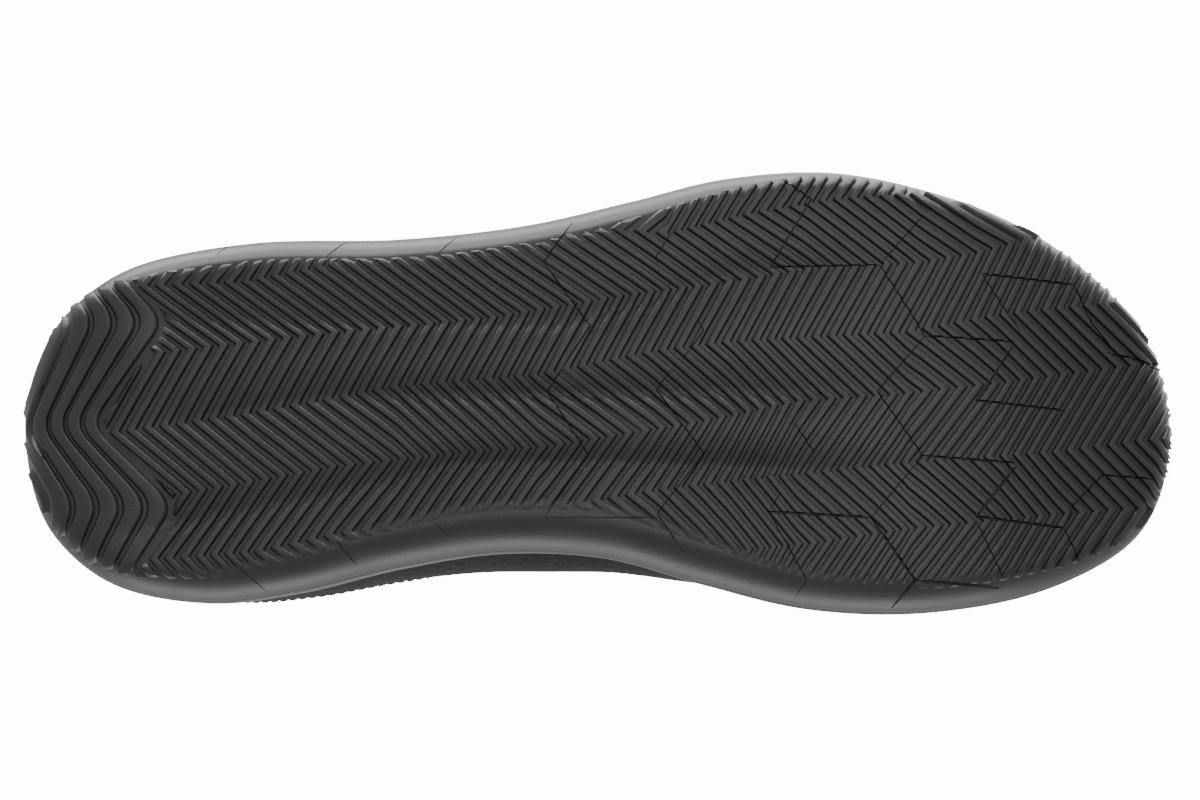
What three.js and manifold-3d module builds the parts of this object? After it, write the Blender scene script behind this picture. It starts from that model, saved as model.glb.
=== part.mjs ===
// A laced court shoe for the right foot, standing on its sole.
// Millimetres, +Z up, toe towards -Y, medial (big toe) side towards +X.
// The origin is on the ground, under the middle of the sole.
//
// Everything hangs on one set of ribs. A rib joins a point of the sole's edge on the medial side to its
// partner on the lateral side, over the ridge of the foot. Rib 0 is the tip of the heel and the last rib
// is the tip of the toe. The sole is lofted straight across the ribs and the upper is lofted over them.
import * as THREE from 'three';
import Module from 'manifold-3d';

const wasm = await Module();
wasm.setup();

// ---------------------------------------------------------------- driving dimensions
const SOLE_LENGTH = 300;
const SOLE_WIDTH = 115.5;
const GAP = 0.3; // between two pieces that lie on each other

// Sole unit
const OUTSOLE_THICKNESS = 4.5;
const WRAP_HEIGHT = 11; // how far the rubber climbs the side, above the tread
const WRAP_THICKNESS = 3;
const TREAD_INSET = 9; // from the side of the sole to the edge of the flat tread
const HEEL_STACK = 28; // ground to foot bed
const FOREFOOT_STACK = 19;
const RIM_HEIGHT = 8; // midsole rim above the foot bed
const RIM_TAPER = 2; // how far the rim leans in from the side of the sole
const TOE_SPRING = 16;
const HEEL_BEVEL = 8;

// Layers of the upper, from the foot outwards
const LINING = 0.8;
const PADDING = 2;
const SHELL = 1.4;
const OVERLAY = 1.4;
const OVERLAY_GAP = 0.45;
const UPPER_INSET = 5.8; // from the side of the sole to the outer face of the upper
const COLLAR_PAD = 5; // extra foam round the ankle
const COLLAR_PAD_START = 0.5; // as a share of the way up to the top line, clear of the lifted sockliner

// Foot bed
const STROBEL_THICKNESS = 1.5;
const SOCKLINER_THICKNESS = 4;
const COVER_THICKNESS = 0.8;
const SOCKLINER_CLEARANCE = 1;

// Sole inserts
const HEEL_CUSHION = { radius: 20, thickness: 7, along: -0.66 };
const SHANK = { length: 84, width: 34, thickness: 1.5, spacing: 7 }; // spacing: in front of the cushion

// Lacing
const EYELET_ROWS = 6;
const EYELET_BORE = 2;
const EYELET_WALL = 0.6;
const EYELET_FLANGE = 4;
const FLANGE_THICKNESS = 0.7;
const EYESTAY_WIDTH = 0.19; // as a share of the way from the sole to the ridge
const LACE_WIDTH = 6.5;
const LACE_THICKNESS = 1.2;

// Tongue
const TONGUE_THICKNESS = 5;
const TONGUE_COVER = 0.9;
const LACE_DEPTH = 0.3; // extra room above the lace, under the lacing flaps
// A wide tape over a short, narrow instep curls more, and needs more room over the tongue.
const LACE_CURL = 1 * (LACE_WIDTH / 6.5) ** 2 * (115.5 / SOLE_WIDTH) * (300 / SOLE_LENGTH) ** 2;
const TONGUE_DROP = GAP + LACE_DEPTH + LACE_THICKNESS + LACE_CURL; // from the upper's inner face to the tongue

// ---------------------------------------------------------------- shapes as shares of the sole
const HALF = SOLE_LENGTH / 2;
const RIBS = 30;
const THROAT_RIB = 19; // where the quarters end and the vamp starts
const THROAT_TOP_RIB = 14; // where the lacing flaps meet the collar
const COUNTER_RIB = 8; // where the heel counter ends
const TOE_RIB = 24; // where the toe stiffener starts

// The sole's edge: [along, from heel -1 to toe 1; across, medial 1 to lateral -1].
const OUTLINE = [
  [-1, 0.19], [-0.94, 0.655], [-0.813, 0.89], [-0.667, 0.95], [-0.52, 0.903], [-0.347, 0.795],
  [-0.173, 0.727], [0, 0.746], [0.175, 0.868], [0.35, 0.977], [0.52, 1], [0.7, 0.937], [0.84, 0.805],
  [0.943, 0.615], [1, 0.21], [0.965, -0.24], [0.873, -0.528], [0.747, -0.75], [0.6, -0.897],
  [0.4, -0.998], [0.22, -0.97], [0.05, -0.862], [-0.133, -0.753], [-0.347, -0.691], [-0.6, -0.674],
  [-0.8, -0.573], [-0.92, -0.38], [-0.98, -0.135],
];

// Height of the foot's ridge above the foot bed, [along, height].
const RIDGE = [
  [-0.79, 122], [-0.53, 122], [-0.427, 118], [-0.333, 106.5], [-0.253, 94.5], [-0.167, 83], [-0.08, 74],
  [0, 67.5], [0.133, 59], [0.267, 52.5], [0.4, 46.5], [0.533, 41.5], [0.667, 36], [0.79, 30.5],
];
const RIDGE_REACH = 0.787; // the ridge is this much shorter than the sole

// How far the upper bellies out above the sole's edge, [along, distance].
const MEDIAL_BELLY = [[-1, 2], [-0.7, 3], [-0.35, 8], [-0.07, 13], [0.2, 9], [0.42, 4], [0.8, 2], [1, 1]];
const LATERAL_BELLY = [[-1, 2], [-0.7, 3], [-0.3, 5], [0, 6], [0.3, 4], [0.8, 2], [1, 1]];
const BELLY_START = 3; // above the midsole's rim
const BELLY_PEAK = 18; // above its start

// Top line of the quarters, [along, share of the way from the sole to the ridge].
const TOP_LINE = [
  [-1, 0.3], [-0.8, 0.255], [-0.62, 0.19], [-0.48, 0.178], [-0.33, 0.23], [-0.2, 0.4], [-0.1, 0.6],
  [-0.03, 0.7], [0.13, 0.74], [0.27, 0.79], [0.42, 0.83], [1, 0.83],
];

// ---------------------------------------------------------------- curves
const lerp = (a, b, t) => a + (b - a) * t;
const clamp = THREE.MathUtils.clamp;
const smooth = (x, from, to) => THREE.MathUtils.smoothstep(x, from, to);

// A smooth function through [x, y] points.
function profile(points) {
  const slope = (k) => {
    const a = points[Math.max(k - 1, 0)];
    const b = points[Math.min(k + 1, points.length - 1)];
    return (b[1] - a[1]) / (b[0] - a[0]);
  };
  return (x) => {
    const at = clamp(x, points[0][0], points[points.length - 1][0]);
    let k = 0;
    while (k < points.length - 2 && at > points[k + 1][0]) k += 1;
    const [x0, y0] = points[k];
    const [x1, y1] = points[k + 1];
    const w = x1 - x0;
    const t = (at - x0) / w;
    const h = t * t * (3 - 2 * t);
    return y0 * (1 - h) + y1 * h + slope(k) * w * t * (1 - t) ** 2 - slope(k + 1) * w * t * t * (1 - t);
  };
}

// The sole's edge as two dense lines from heel tip to toe tip, fitted to the sole's length and width.
function traceOutline() {
  const samples = 3000;
  const curve = new THREE.CatmullRomCurve3(OUTLINE.map(([a, x]) => new THREE.Vector3(x, a, 0)), true);
  const dots = curve.getPoints(samples).slice(0, samples);
  const xs = dots.map((p) => p.x);
  const as = dots.map((p) => p.y);
  const [left, right] = [Math.min(...xs), Math.max(...xs)];
  const [heel, toe] = [as.indexOf(Math.min(...as)), as.indexOf(Math.max(...as))];
  const fit = (p) => ({
    x: ((p.x - (left + right) / 2) / (right - left)) * SOLE_WIDTH,
    a: ((p.y - as[heel]) / (as[toe] - as[heel]) - 0.5) * SOLE_LENGTH,
  });
  const walk = (from, to, step) => {
    const line = [];
    for (let k = from; ; k = (k + step + samples) % samples) {
      line.push(fit(dots[k]));
      if (k === to) return line;
    }
  };
  return { 1: walk(heel, toe, 1), [-1]: walk(heel, toe, -1) };
}
const EDGE = traceOutline();

const alongOfRib = (rib) => -HALF * Math.cos((Math.PI * rib) / RIBS);

// The edge point of a rib on one side (1 medial, -1 lateral), moved in from the sole's side by inset.
function edge(rib, side, inset) {
  const line = EDGE[side];
  const target = alongOfRib(rib);
  let low = 0;
  let high = line.length - 1;
  while (high - low > 1) {
    const middle = (low + high) >> 1;
    if (line[middle].a < target) low = middle;
    else high = middle;
  }
  const [p, q] = [line[low], line[high]];
  const t = clamp((target - p.a) / Math.max(q.a - p.a, 1e-9), 0, 1);
  const [before, after] = [line[Math.max(low - 6, 0)], line[Math.min(high + 6, line.length - 1)]];
  const tip = rib <= 0 || rib >= RIBS;
  const length = Math.hypot(after.x - before.x, after.a - before.a);
  const out = tip
    ? { x: 0, a: rib <= 0 ? -1 : 1 }
    : { x: (side * (after.a - before.a)) / length, a: (-side * (after.x - before.x)) / length };
  return {
    x: lerp(p.x, q.x, t) - inset * out.x,
    a: lerp(p.a, q.a, t) - inset * out.a,
    out,
  };
}

// ---------------------------------------------------------------- heights of the sole
const treadHeight = (a) =>
  HEEL_BEVEL * clamp((-a / HALF - 0.77) / 0.23, 0, 1.2) ** 2 + TOE_SPRING * clamp((a / HALF - 0.4) / 0.6, 0, 1.2) ** 2;
const bedHeight = (a) =>
  lerp(HEEL_STACK, FOREFOOT_STACK, smooth(a / HALF, -0.5, 0.4)) +
  0.85 * TOE_SPRING * clamp((a / HALF - 0.4) / 0.6, 0, 1.2) ** 2;
const rimHeight = (a) => bedHeight(a) + RIM_HEIGHT;

// ---------------------------------------------------------------- the surface of the upper
const PADDING_IN = LINING + GAP;
const SHELL_IN = PADDING_IN + PADDING + GAP;
const SHELL_OUT = SHELL_IN + SHELL;
const OVERLAY_IN = SHELL_OUT + OVERLAY_GAP;
const OVERLAY_OUT = OVERLAY_IN + OVERLAY;
const LINING_INSET = UPPER_INSET + SHELL_OUT;

const ridgeAbove = profile(RIDGE);
const belly = { 1: profile(MEDIAL_BELLY), [-1]: profile(LATERAL_BELLY) };
const topShare = profile(TOP_LINE);

function ridge(rib) {
  const a = RIDGE_REACH * alongOfRib(rib);
  const x = (edge(rib, 1, 0).x + edge(rib, -1, 0).x) / 2 + 1.5;
  return { x, a, z: bedHeight(a) + ridgeAbove(a / HALF) };
}

// A point of the upper: up is 0 at the sole and 1 on the ridge, off is the distance out from the foot.
function onUpper(rib, side, up, off) {
  const foot = edge(rib, side, LINING_INSET);
  const top = ridge(rib);
  const box = lerp(1, 0.82, smooth(alongOfRib(rib) / HALF, 0.1, 0.7));
  const c = Math.max(Math.cos((up * Math.PI) / 2), 0) ** box;
  const s = Math.sin((up * Math.PI) / 2) ** box;
  const bottom = bedHeight(foot.a + off * foot.out.a) + GAP;
  const rise = Math.max((top.z - bottom) * s - RIM_HEIGHT - BELLY_START, 0) / BELLY_PEAK;
  const swell = rise ** 2 * Math.exp(2 - 2 * rise) * (1 - up);
  const reach = off * c + belly[side](alongOfRib(rib) / HALF) * swell;
  return new THREE.Vector3(
    lerp(top.x, foot.x, c) + foot.out.x * reach,
    -(lerp(top.a, foot.a, c) + foot.out.a * reach),
    lerp(bottom, top.z + off, s),
  );
}

const topOf = (rib) => topShare(alongOfRib(rib) / HALF);

// The share at which the upper comes out of the midsole's rim.
function rimShare(rib, side, off) {
  let low = 0;
  let high = 0.6;
  for (let n = 0; n < 24; n += 1) {
    const middle = (low + high) / 2;
    const p = onUpper(rib, side, middle, off);
    if (p.z < rimHeight(-p.y) + 2 * GAP) low = middle;
    else high = middle;
  }
  return high;
}

// Extra foam round the ankle pushes the lining in. It is thickest just under the top line.
function collarSwell(rib, up) {
  const share = up / topOf(rib);
  const round = Math.sin(Math.PI * clamp((share - COLLAR_PAD_START) / (1.1 - COLLAR_PAD_START), 0, 1));
  return COLLAR_PAD * round * (1 - smooth(alongOfRib(rib) / HALF, -0.36, -0.12));
}

// ---------------------------------------------------------------- closed solids from grids of points
// Welds loose triangles of points into one closed geometry whose faces point outwards.
function weld(triangles) {
  const index = new Map();
  const positions = [];
  const keyOf = (p) => [p.x, p.y, p.z].map((v) => Math.round(v * 1000)).join();
  const idOf = (p) => {
    const key = keyOf(p);
    if (!index.has(key)) {
      index.set(key, positions.length / 3);
      positions.push(p.x, p.y, p.z);
    }
    return index.get(key);
  };
  const faces = triangles
    .map((t) => t.map(idOf))
    .filter(([a, b, c]) => a !== b && b !== c && c !== a);
  let volume = 0;
  for (const [a, b, c] of triangles) volume += a.dot(new THREE.Vector3().crossVectors(b, c));
  if (volume < 0) faces.forEach((f) => f.reverse());
  const geometry = new THREE.BufferGeometry();
  geometry.setAttribute('position', new THREE.Float32BufferAttribute(positions, 3));
  geometry.setIndex(faces.flat());
  return geometry;
}

// The triangles of a grid, whose rows are lines of points.
function gridFaces(rows, flip = false) {
  const faces = [];
  for (let r = 0; r + 1 < rows.length; r += 1) {
    for (let k = 0; k + 1 < rows[r].length; k += 1) {
      const [a, b, c, d] = [rows[r][k], rows[r][k + 1], rows[r + 1][k + 1], rows[r + 1][k]];
      if (flip) faces.push([a, c, b], [a, d, c]);
      else faces.push([a, b, c], [a, c, d]);
    }
  }
  return faces;
}

// A sheet with thickness: two grids of the same size, closed round their borders. A border where the sheet
// is folded onto itself needs no wall.
function sheet(outer, inner, foldedTop = false) {
  const last = outer.length - 1;
  const end = outer[0].length - 1;
  const faces = [...gridFaces(outer), ...gridFaces(inner, true)];
  faces.push(...gridFaces([inner[0], outer[0]]), ...gridFaces([outer[last], inner[last]]));
  faces.push(...gridFaces([outer.map((row) => row[0]), inner.map((row) => row[0])]));
  if (!foldedTop) faces.push(...gridFaces([inner.map((row) => row[end]), outer.map((row) => row[end])]));
  return weld(faces);
}

// A solid lofted along the ribs from closed sections. A section is a list of [side, inset, height above a].
function loftSole(section, ribs = stations(0, RIBS)) {
  const rows = ribs.map((rib) => {
    const loop = section.map(([side, inset, height]) => {
      const p = edge(rib, side, inset);
      return new THREE.Vector3(p.x, -p.a, height(p.a));
    });
    return [...loop, loop[0]];
  });
  return weld(gridFaces(rows));
}

// Whole ribs between two positions, with the two positions themselves.
function stations(from, to) {
  const list = [from];
  for (let rib = Math.floor(Math.min(from, to)) + 1; rib < Math.max(from, to); rib += 1) list.push(rib);
  const inner = list.slice(1).filter((rib) => Math.abs(rib - from) > 0.2 && Math.abs(rib - to) > 0.2);
  return [from, ...(from > to ? inner.reverse() : inner), to];
}

// Columns of the upper from one side round a tip to the other: [rib, side].
function columns(medialRib, tipRib, lateralRib) {
  const medial = stations(medialRib, tipRib).map((rib) => [rib, 1]);
  const lateral = stations(tipRib, lateralRib).map((rib) => [rib, -1]);
  return [...medial, ...lateral.slice(1)];
}

// Columns of one side only, in the same order as they have in columns().
function sideColumns(backRib, frontRib, side) {
  const ribs = side > 0 ? stations(frontRib, backRib) : stations(backRib, frontRib);
  return ribs.map((rib) => [rib, side]);
}

// A layer of the upper over some columns: low and high give its shares, inside and outside its distances.
function layer(cols, steps, low, high, inside, outside, foldedTop = false) {
  const face = (off) =>
    cols.map(([rib, side]) =>
      Array.from({ length: steps + 1 }, (_, k) => {
        const up = lerp(low(rib, side), high(rib, side), k / steps);
        return onUpper(rib, side, up, off(rib, up));
      }),
    );
  return sheet(face(outside), face(inside), foldedTop);
}

function toSolid(geometry) {
  const positions = new Float32Array(geometry.getAttribute('position').array);
  return new wasm.Manifold(new wasm.Mesh({
    numProp: 3,
    vertProperties: positions,
    triVerts: new Uint32Array(geometry.index.array),
  }));
}

function toGeometry(solid) {
  const mesh = solid.getMesh();
  const geometry = new THREE.BufferGeometry();
  geometry.setAttribute('position', new THREE.Float32BufferAttribute(mesh.vertProperties, 3));
  geometry.setIndex(Array.from(mesh.triVerts));
  return geometry;
}

// Closed three.js geometries keep doubled vertices at their seams: weld them before a cut.
function weldGeometry(geometry) {
  const flat = geometry.index ? geometry.toNonIndexed() : geometry;
  const at = flat.getAttribute('position');
  const faces = [];
  for (let k = 0; k < at.count; k += 3) {
    faces.push([0, 1, 2].map((n) => new THREE.Vector3().fromBufferAttribute(at, k + n)));
  }
  return weld(faces);
}

const cut = (geometry, tools) =>
  toGeometry(tools.reduce((left, tool) => left.subtract(toSolid(tool)), toSolid(geometry)));

// ---------------------------------------------------------------- materials
const material = (color, roughness, metalness = 0) =>
  new THREE.MeshStandardMaterial({ color, roughness, metalness });
const RUBBER = material(0x2b2b2d, 0.5);
const FOAM = material(0x222224, 0.55);
const WHITE_FOAM = material(0xc9c9c4, 0.8);
const STIFFENER = material(0x3a3a3c, 0.5);
const MESH_FABRIC = material(0x17171a, 0.9);
const OVERLAY_SKIN = material(0x1c1c1f, 0.45);
const LINING_FABRIC = material(0x1a1a1c, 0.95);
const BOARD = material(0x8d8d88, 0.9);
const PLASTIC = material(0x111113, 0.35);
const WEBBING = material(0x141416, 0.85);

const shoe = new THREE.Group();

function add(name, geometry, finish, parent = shoe) {
  const mesh = new THREE.Mesh(geometry, finish);
  mesh.name = name;
  parent.add(mesh);
  return mesh;
}

// ---------------------------------------------------------------- sole unit
const above = (height) => (a) => treadHeight(a) + height;
const mirror = (half) => [...half, ...[...half].reverse().map(([side, inset, height]) => [-side, inset, height])];
const IN = OUTSOLE_THICKNESS;

// Rubber tread with a rolled edge that climbs the side of the foam.
function outsole() {
  return loftSole(mirror([
    [1, TREAD_INSET, above(IN)],
    [1, WRAP_THICKNESS + 2.6, above(IN + 0.9)],
    [1, WRAP_THICKNESS + 0.8, above(IN + 3.2)],
    [1, WRAP_THICKNESS, above(WRAP_HEIGHT)],
    [1, 0.15, above(WRAP_HEIGHT)],
    [1, 0.5, above(0.72 * WRAP_HEIGHT)],
    [1, 1.7, above(0.45 * WRAP_HEIGHT)],
    [1, 3.8, above(0.22 * WRAP_HEIGHT)],
    [1, 6.2, above(0.07 * WRAP_HEIGHT)],
    [1, TREAD_INSET, above(0)],
  ]));
}

// Foam that fills the rubber dish, stands on its edge and rises into a rim round the upper.
function midsoleBlank() {
  const rimInset = UPPER_INSET - GAP;
  const sideAt = (share) => (a) => lerp(above(WRAP_HEIGHT + GAP)(a), rimHeight(a), share);
  return loftSole(mirror([
    [1, rimInset, bedHeight],
    [1, rimInset, rimHeight],
    [1, RIM_TAPER + 0.9, rimHeight],
    [1, RIM_TAPER, sideAt(0.9)],
    [1, 0.4 * RIM_TAPER, sideAt(0.5)],
    [1, 0, sideAt(0.18)],
    [1, 0.15, sideAt(0)],
    [1, WRAP_THICKNESS + GAP, sideAt(0)],
    [1, WRAP_THICKNESS + 0.8 + GAP, above(IN + 3.2 + GAP)],
    [1, WRAP_THICKNESS + 2.6 + GAP, above(IN + 0.9 + GAP)],
    [1, TREAD_INSET + GAP, above(IN + GAP)],
  ]));
}

// A flat plate with round ends, lying along the shoe, its lower face on the rubber.
function plate(length, width, thickness, along, grow = 0) {
  const [half, radius] = [length / 2 + grow, width / 2 + grow];
  const shape = new THREE.Shape();
  shape.absarc(0, half - radius, radius, 0, Math.PI, false);
  shape.absarc(0, -half + radius, radius, Math.PI, 2 * Math.PI, false);
  const geometry = new THREE.ExtrudeGeometry(shape, {
    depth: thickness + 2 * grow,
    bevelEnabled: false,
    curveSegments: 8,
  });
  const bottom = IN + 2 * GAP - grow;
  geometry.translate(centreAt(along), -along, bottom);
  return weldGeometry(geometry);
}

// The middle of the sole at a place along it.
function centreAt(a) {
  const rib = (Math.acos(clamp(-a / HALF, -1, 1)) / Math.PI) * RIBS;
  return (edge(rib, 1, 0).x + edge(rib, -1, 0).x) / 2;
}

const cushionAt = HEEL_CUSHION.along * HALF;
const shankAt = cushionAt + HEEL_CUSHION.radius + SHANK.spacing + SHANK.length / 2;
const shankPlate = (grow) => plate(SHANK.length, SHANK.width, SHANK.thickness, shankAt, grow);
const heelCushion = (grow) =>
  plate(2 * HEEL_CUSHION.radius, 2 * HEEL_CUSHION.radius, HEEL_CUSHION.thickness, cushionAt, grow);

add('outsole', outsole(), RUBBER);
add('midsole', cut(midsoleBlank(), [shankPlate(GAP + 0.1), heelCushion(GAP + 0.1)]), FOAM);
add('shank_plate', shankPlate(0), STIFFENER);
add('heel_cushion', heelCushion(0), WHITE_FOAM);

// Flat pieces of the foot bed, each lying on the one below.
function bedPiece(bottom, thickness, inset) {
  return loftSole(mirror([
    [1, inset, (a) => bedHeight(a) + bottom],
    [1, inset, (a) => bedHeight(a) + bottom + thickness],
  ]));
}
const SOCKLINER_BOTTOM = GAP + STROBEL_THICKNESS + GAP;
const SOCKLINER_INSET = LINING_INSET + SOCKLINER_CLEARANCE;

add('strobel_board', bedPiece(GAP, STROBEL_THICKNESS, LINING_INSET + GAP), BOARD);

// The sockliner lifts out, so it and its cover are a group of their own.
const sockliner = new THREE.Group();
shoe.add(sockliner);
add('sockliner_foam', bedPiece(SOCKLINER_BOTTOM, SOCKLINER_THICKNESS, SOCKLINER_INSET), FOAM, sockliner);
add(
  'sockliner_cover',
  bedPiece(SOCKLINER_BOTTOM + SOCKLINER_THICKNESS + GAP, COVER_THICKNESS, SOCKLINER_INSET),
  LINING_FABRIC,
  sockliner,
);

// ---------------------------------------------------------------- lacing places
// Where eyelet number row sits on one side: its rib and its share, in the middle of the eyestay.
function eyeletPlace(row) {
  const rib = lerp(THROAT_RIB - 0.6, THROAT_TOP_RIB + 0.45, row / (EYELET_ROWS - 1));
  return { rib, up: topOf(rib) - EYESTAY_WIDTH * 0.5 };
}

// The outward direction of the upper at a place.
function normalAt(rib, side, up, off) {
  const d = 0.02;
  const alongRibs = onUpper(rib + d, side, up, off).sub(onUpper(rib - d, side, up, off));
  const upwards = onUpper(rib, side, up + d, off).sub(onUpper(rib, side, up - d, off));
  const normal = new THREE.Vector3().crossVectors(alongRibs, upwards).normalize();
  return normal.z < 0 ? normal.negate() : normal;
}

function placeOnUpper(geometry, rib, side, up) {
  const normal = normalAt(rib, side, up, SHELL_OUT);
  geometry.applyQuaternion(new THREE.Quaternion().setFromUnitVectors(new THREE.Vector3(0, 0, 1), normal));
  const at = onUpper(rib, side, up, OVERLAY_OUT);
  return geometry.translate(at.x, at.y, at.z);
}

const EYELET_DEPTH = OVERLAY_OUT; // the tube ends flush with the lining
const DRILL_SIDES = 6;
const EYELET_SIDES = 10;

// A drill for one eyelet, clear through every layer of the quarter.
function eyeletDrill(row, side) {
  const { rib, up } = eyeletPlace(row);
  const radius = (EYELET_BORE + EYELET_WALL + GAP) / Math.cos(Math.PI / DRILL_SIDES);
  const drill = new THREE.CylinderGeometry(radius, radius, 4 * EYELET_DEPTH, DRILL_SIDES);
  drill.rotateX(Math.PI / 2);
  return weldGeometry(placeOnUpper(drill, rib, side, up));
}

// An eyelet: a short tube through the layers with a flange on the outside.
function eyelet(row, side) {
  const { rib, up } = eyeletPlace(row);
  const outer = EYELET_BORE + EYELET_WALL;
  const lift = 0.4;
  const ring = new THREE.LatheGeometry(
    [
      [EYELET_BORE, -EYELET_DEPTH],
      [outer, -EYELET_DEPTH],
      [outer, lift],
      [EYELET_FLANGE, lift],
      [EYELET_FLANGE - 0.3, lift + FLANGE_THICKNESS],
      [EYELET_BORE, lift + FLANGE_THICKNESS],
      [EYELET_BORE, -EYELET_DEPTH],
    ].map(([r, z]) => new THREE.Vector2(r, z)),
    EYELET_SIDES,
  ).rotateX(Math.PI / 2);
  return weldGeometry(placeOnUpper(ring, rib, side, up));
}

const SIDES = { medial: 1, lateral: -1 };
const rowNumbers = Array.from({ length: EYELET_ROWS }, (_, row) => row);
const drills = { 1: rowNumbers.map((row) => eyeletDrill(row, 1)), [-1]: rowNumbers.map((row) => eyeletDrill(row, -1)) };
const allDrills = [...drills[1], ...drills[-1]];

// ---------------------------------------------------------------- upper, rear half
const SEAM = 0.03; // half of the gap at a seam, in ribs
const STEPS = 7;
const LOWER_STEPS = 3; // the counter and the quarter foam reach up this many steps
const lowerTop = (rib) => (LOWER_STEPS / STEPS - 0.012) * topOf(rib);
const zero = () => 0;
const padOutside = () => PADDING_IN + PADDING;
const padInside = (rib, up) => PADDING_IN - collarSwell(rib, up);
const rearColumns = columns(THROAT_RIB - SEAM, 0, THROAT_RIB - SEAM);

// Textile lining of the heel, ankle and lacing flaps, bulged in by the foam behind it.
const liningInside = (rib, up) => -collarSwell(rib, up);
const liningOutside = (rib, up) => LINING - collarSwell(rib, up);
const collarLining = layer(rearColumns, STEPS, zero, topOf, liningInside, liningOutside);
add('collar_lining', cut(collarLining, allDrills), LINING_FABRIC);

// Foam of the collar and the lacing flaps.
const collarBottom = (rib) => (LOWER_STEPS / STEPS) * topOf(rib);
const collarFoam = layer(rearColumns, STEPS - LOWER_STEPS, collarBottom, topOf, padInside, padOutside);
add('collar_foam', cut(collarFoam, allDrills), FOAM);

// Moulded cup that stiffens the heel, between lining and quarters, under the collar foam.
const counterColumns = columns(COUNTER_RIB - SEAM, 0, COUNTER_RIB - SEAM);
const counter = layer(counterColumns, LOWER_STEPS, zero, lowerTop, padInside, padOutside);
add('heel_counter', counter, STIFFENER);

for (const [name, side] of Object.entries(SIDES)) {
  const foamColumns = sideColumns(COUNTER_RIB + SEAM, THROAT_RIB - SEAM, side);
  const foam = layer(foamColumns, LOWER_STEPS, zero, lowerTop, padInside, () => padOutside() - 0.3);
  add(`${name}_quarter_foam`, foam, FOAM);

  const quarterColumns = sideColumns(SEAM, THROAT_RIB - SEAM, side);
  const quarter = layer(quarterColumns, STEPS, zero, topOf, () => SHELL_IN, () => SHELL_OUT);
  add(`${name}_quarter`, cut(quarter, drills[side]), MESH_FABRIC);

  const flapColumns = sideColumns(THROAT_TOP_RIB, THROAT_RIB - SEAM, side);
  const flapBottom = (rib) => topOf(rib) - EYESTAY_WIDTH;
  const eyestay = layer(flapColumns, 2, flapBottom, topOf, () => OVERLAY_IN, () => OVERLAY_OUT);
  add(`${name}_eyestay`, cut(eyestay, drills[side]), OVERLAY_SKIN);
  for (const row of rowNumbers) add(`eyelet_${name}_${row + 1}`, eyelet(row, side), PLASTIC);
}

// Plastic clip outside the heel, above the rim of the midsole.
const CLIP_RIB = 7;
const CLIP_STEPS = 3;
const clipBottom = (rib, side) => rimShare(rib, side, OVERLAY_IN);
const clipTop = (rib, side) => lerp(clipBottom(rib, side), topOf(rib), lerp(0.6, 0.2, (rib / CLIP_RIB) ** 2));
const clipColumns = columns(CLIP_RIB, 0, CLIP_RIB);
add(
  'heel_clip',
  layer(clipColumns, CLIP_STEPS, clipBottom, clipTop, () => OVERLAY_IN, () => OVERLAY_OUT),
  PLASTIC,
);

// Webbing that closes the seam of the quarters above the clip.
const TAB_RIB = 1;
const tabBottom = (rib, side) => clipTop(rib, side) + 0.008;
const tabTop = (rib) => topOf(rib) + 0.012;
add(
  'heel_tab',
  layer(columns(TAB_RIB, 0, TAB_RIB), 4, tabBottom, tabTop, () => OVERLAY_IN, () => OVERLAY_OUT + 0.6),
  WEBBING,
);

// ---------------------------------------------------------------- upper, front half
const one = () => 1;
const frontColumns = columns(THROAT_RIB + SEAM, RIBS, THROAT_RIB + SEAM);
const toeColumns = columns(TOE_RIB + SEAM, RIBS, TOE_RIB + SEAM);

add('vamp', layer(frontColumns, STEPS, zero, one, () => SHELL_IN, () => SHELL_OUT, true), MESH_FABRIC);
add('vamp_lining', layer(frontColumns, STEPS, zero, one, zero, () => LINING, true), LINING_FABRIC);

// Stiffener over the toes, between lining and vamp.
add(
  'toe_puff',
  layer(toeColumns, STEPS, zero, one, () => PADDING_IN, () => PADDING_IN + PADDING, true),
  STIFFENER,
);

// Foam behind the vamp, from the throat to the toe stiffener: one sheet over the ridge.
function vampFoam() {
  const face = (off) =>
    stations(THROAT_RIB + SEAM, TOE_RIB - SEAM).map((rib) => [
      ...Array.from({ length: STEPS + 1 }, (_, k) => onUpper(rib, 1, k / STEPS, off)),
      ...Array.from({ length: STEPS }, (_, k) => onUpper(rib, -1, 1 - (k + 1) / STEPS, off)),
    ]);
  return sheet(face(PADDING_IN + PADDING), face(PADDING_IN));
}
add('vamp_foam', vampFoam(), FOAM);

// Abrasion guard round the toe. It runs further back on the medial side, which drags on the court.
const GUARD = { medialRib: 20, lateralRib: 24, height: 0.16, tipHeight: 0.4 };
add(
  'toe_guard',
  layer(
    columns(GUARD.medialRib, RIBS, GUARD.lateralRib), 4,
    (rib, side) => rimShare(rib, side, OVERLAY_IN),
    (rib, side) =>
      rimShare(rib, side, OVERLAY_IN) + lerp(GUARD.height, GUARD.tipHeight, smooth(rib, 22, RIBS)),
    () => OVERLAY_IN,
    () => OVERLAY_OUT,
  ),
  OVERLAY_SKIN,
);

// ---------------------------------------------------------------- tongue
const TONGUE = { baseRib: 20.3, topRib: 12, baseHalf: 0.34, topHalf: 0.42 };

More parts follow.
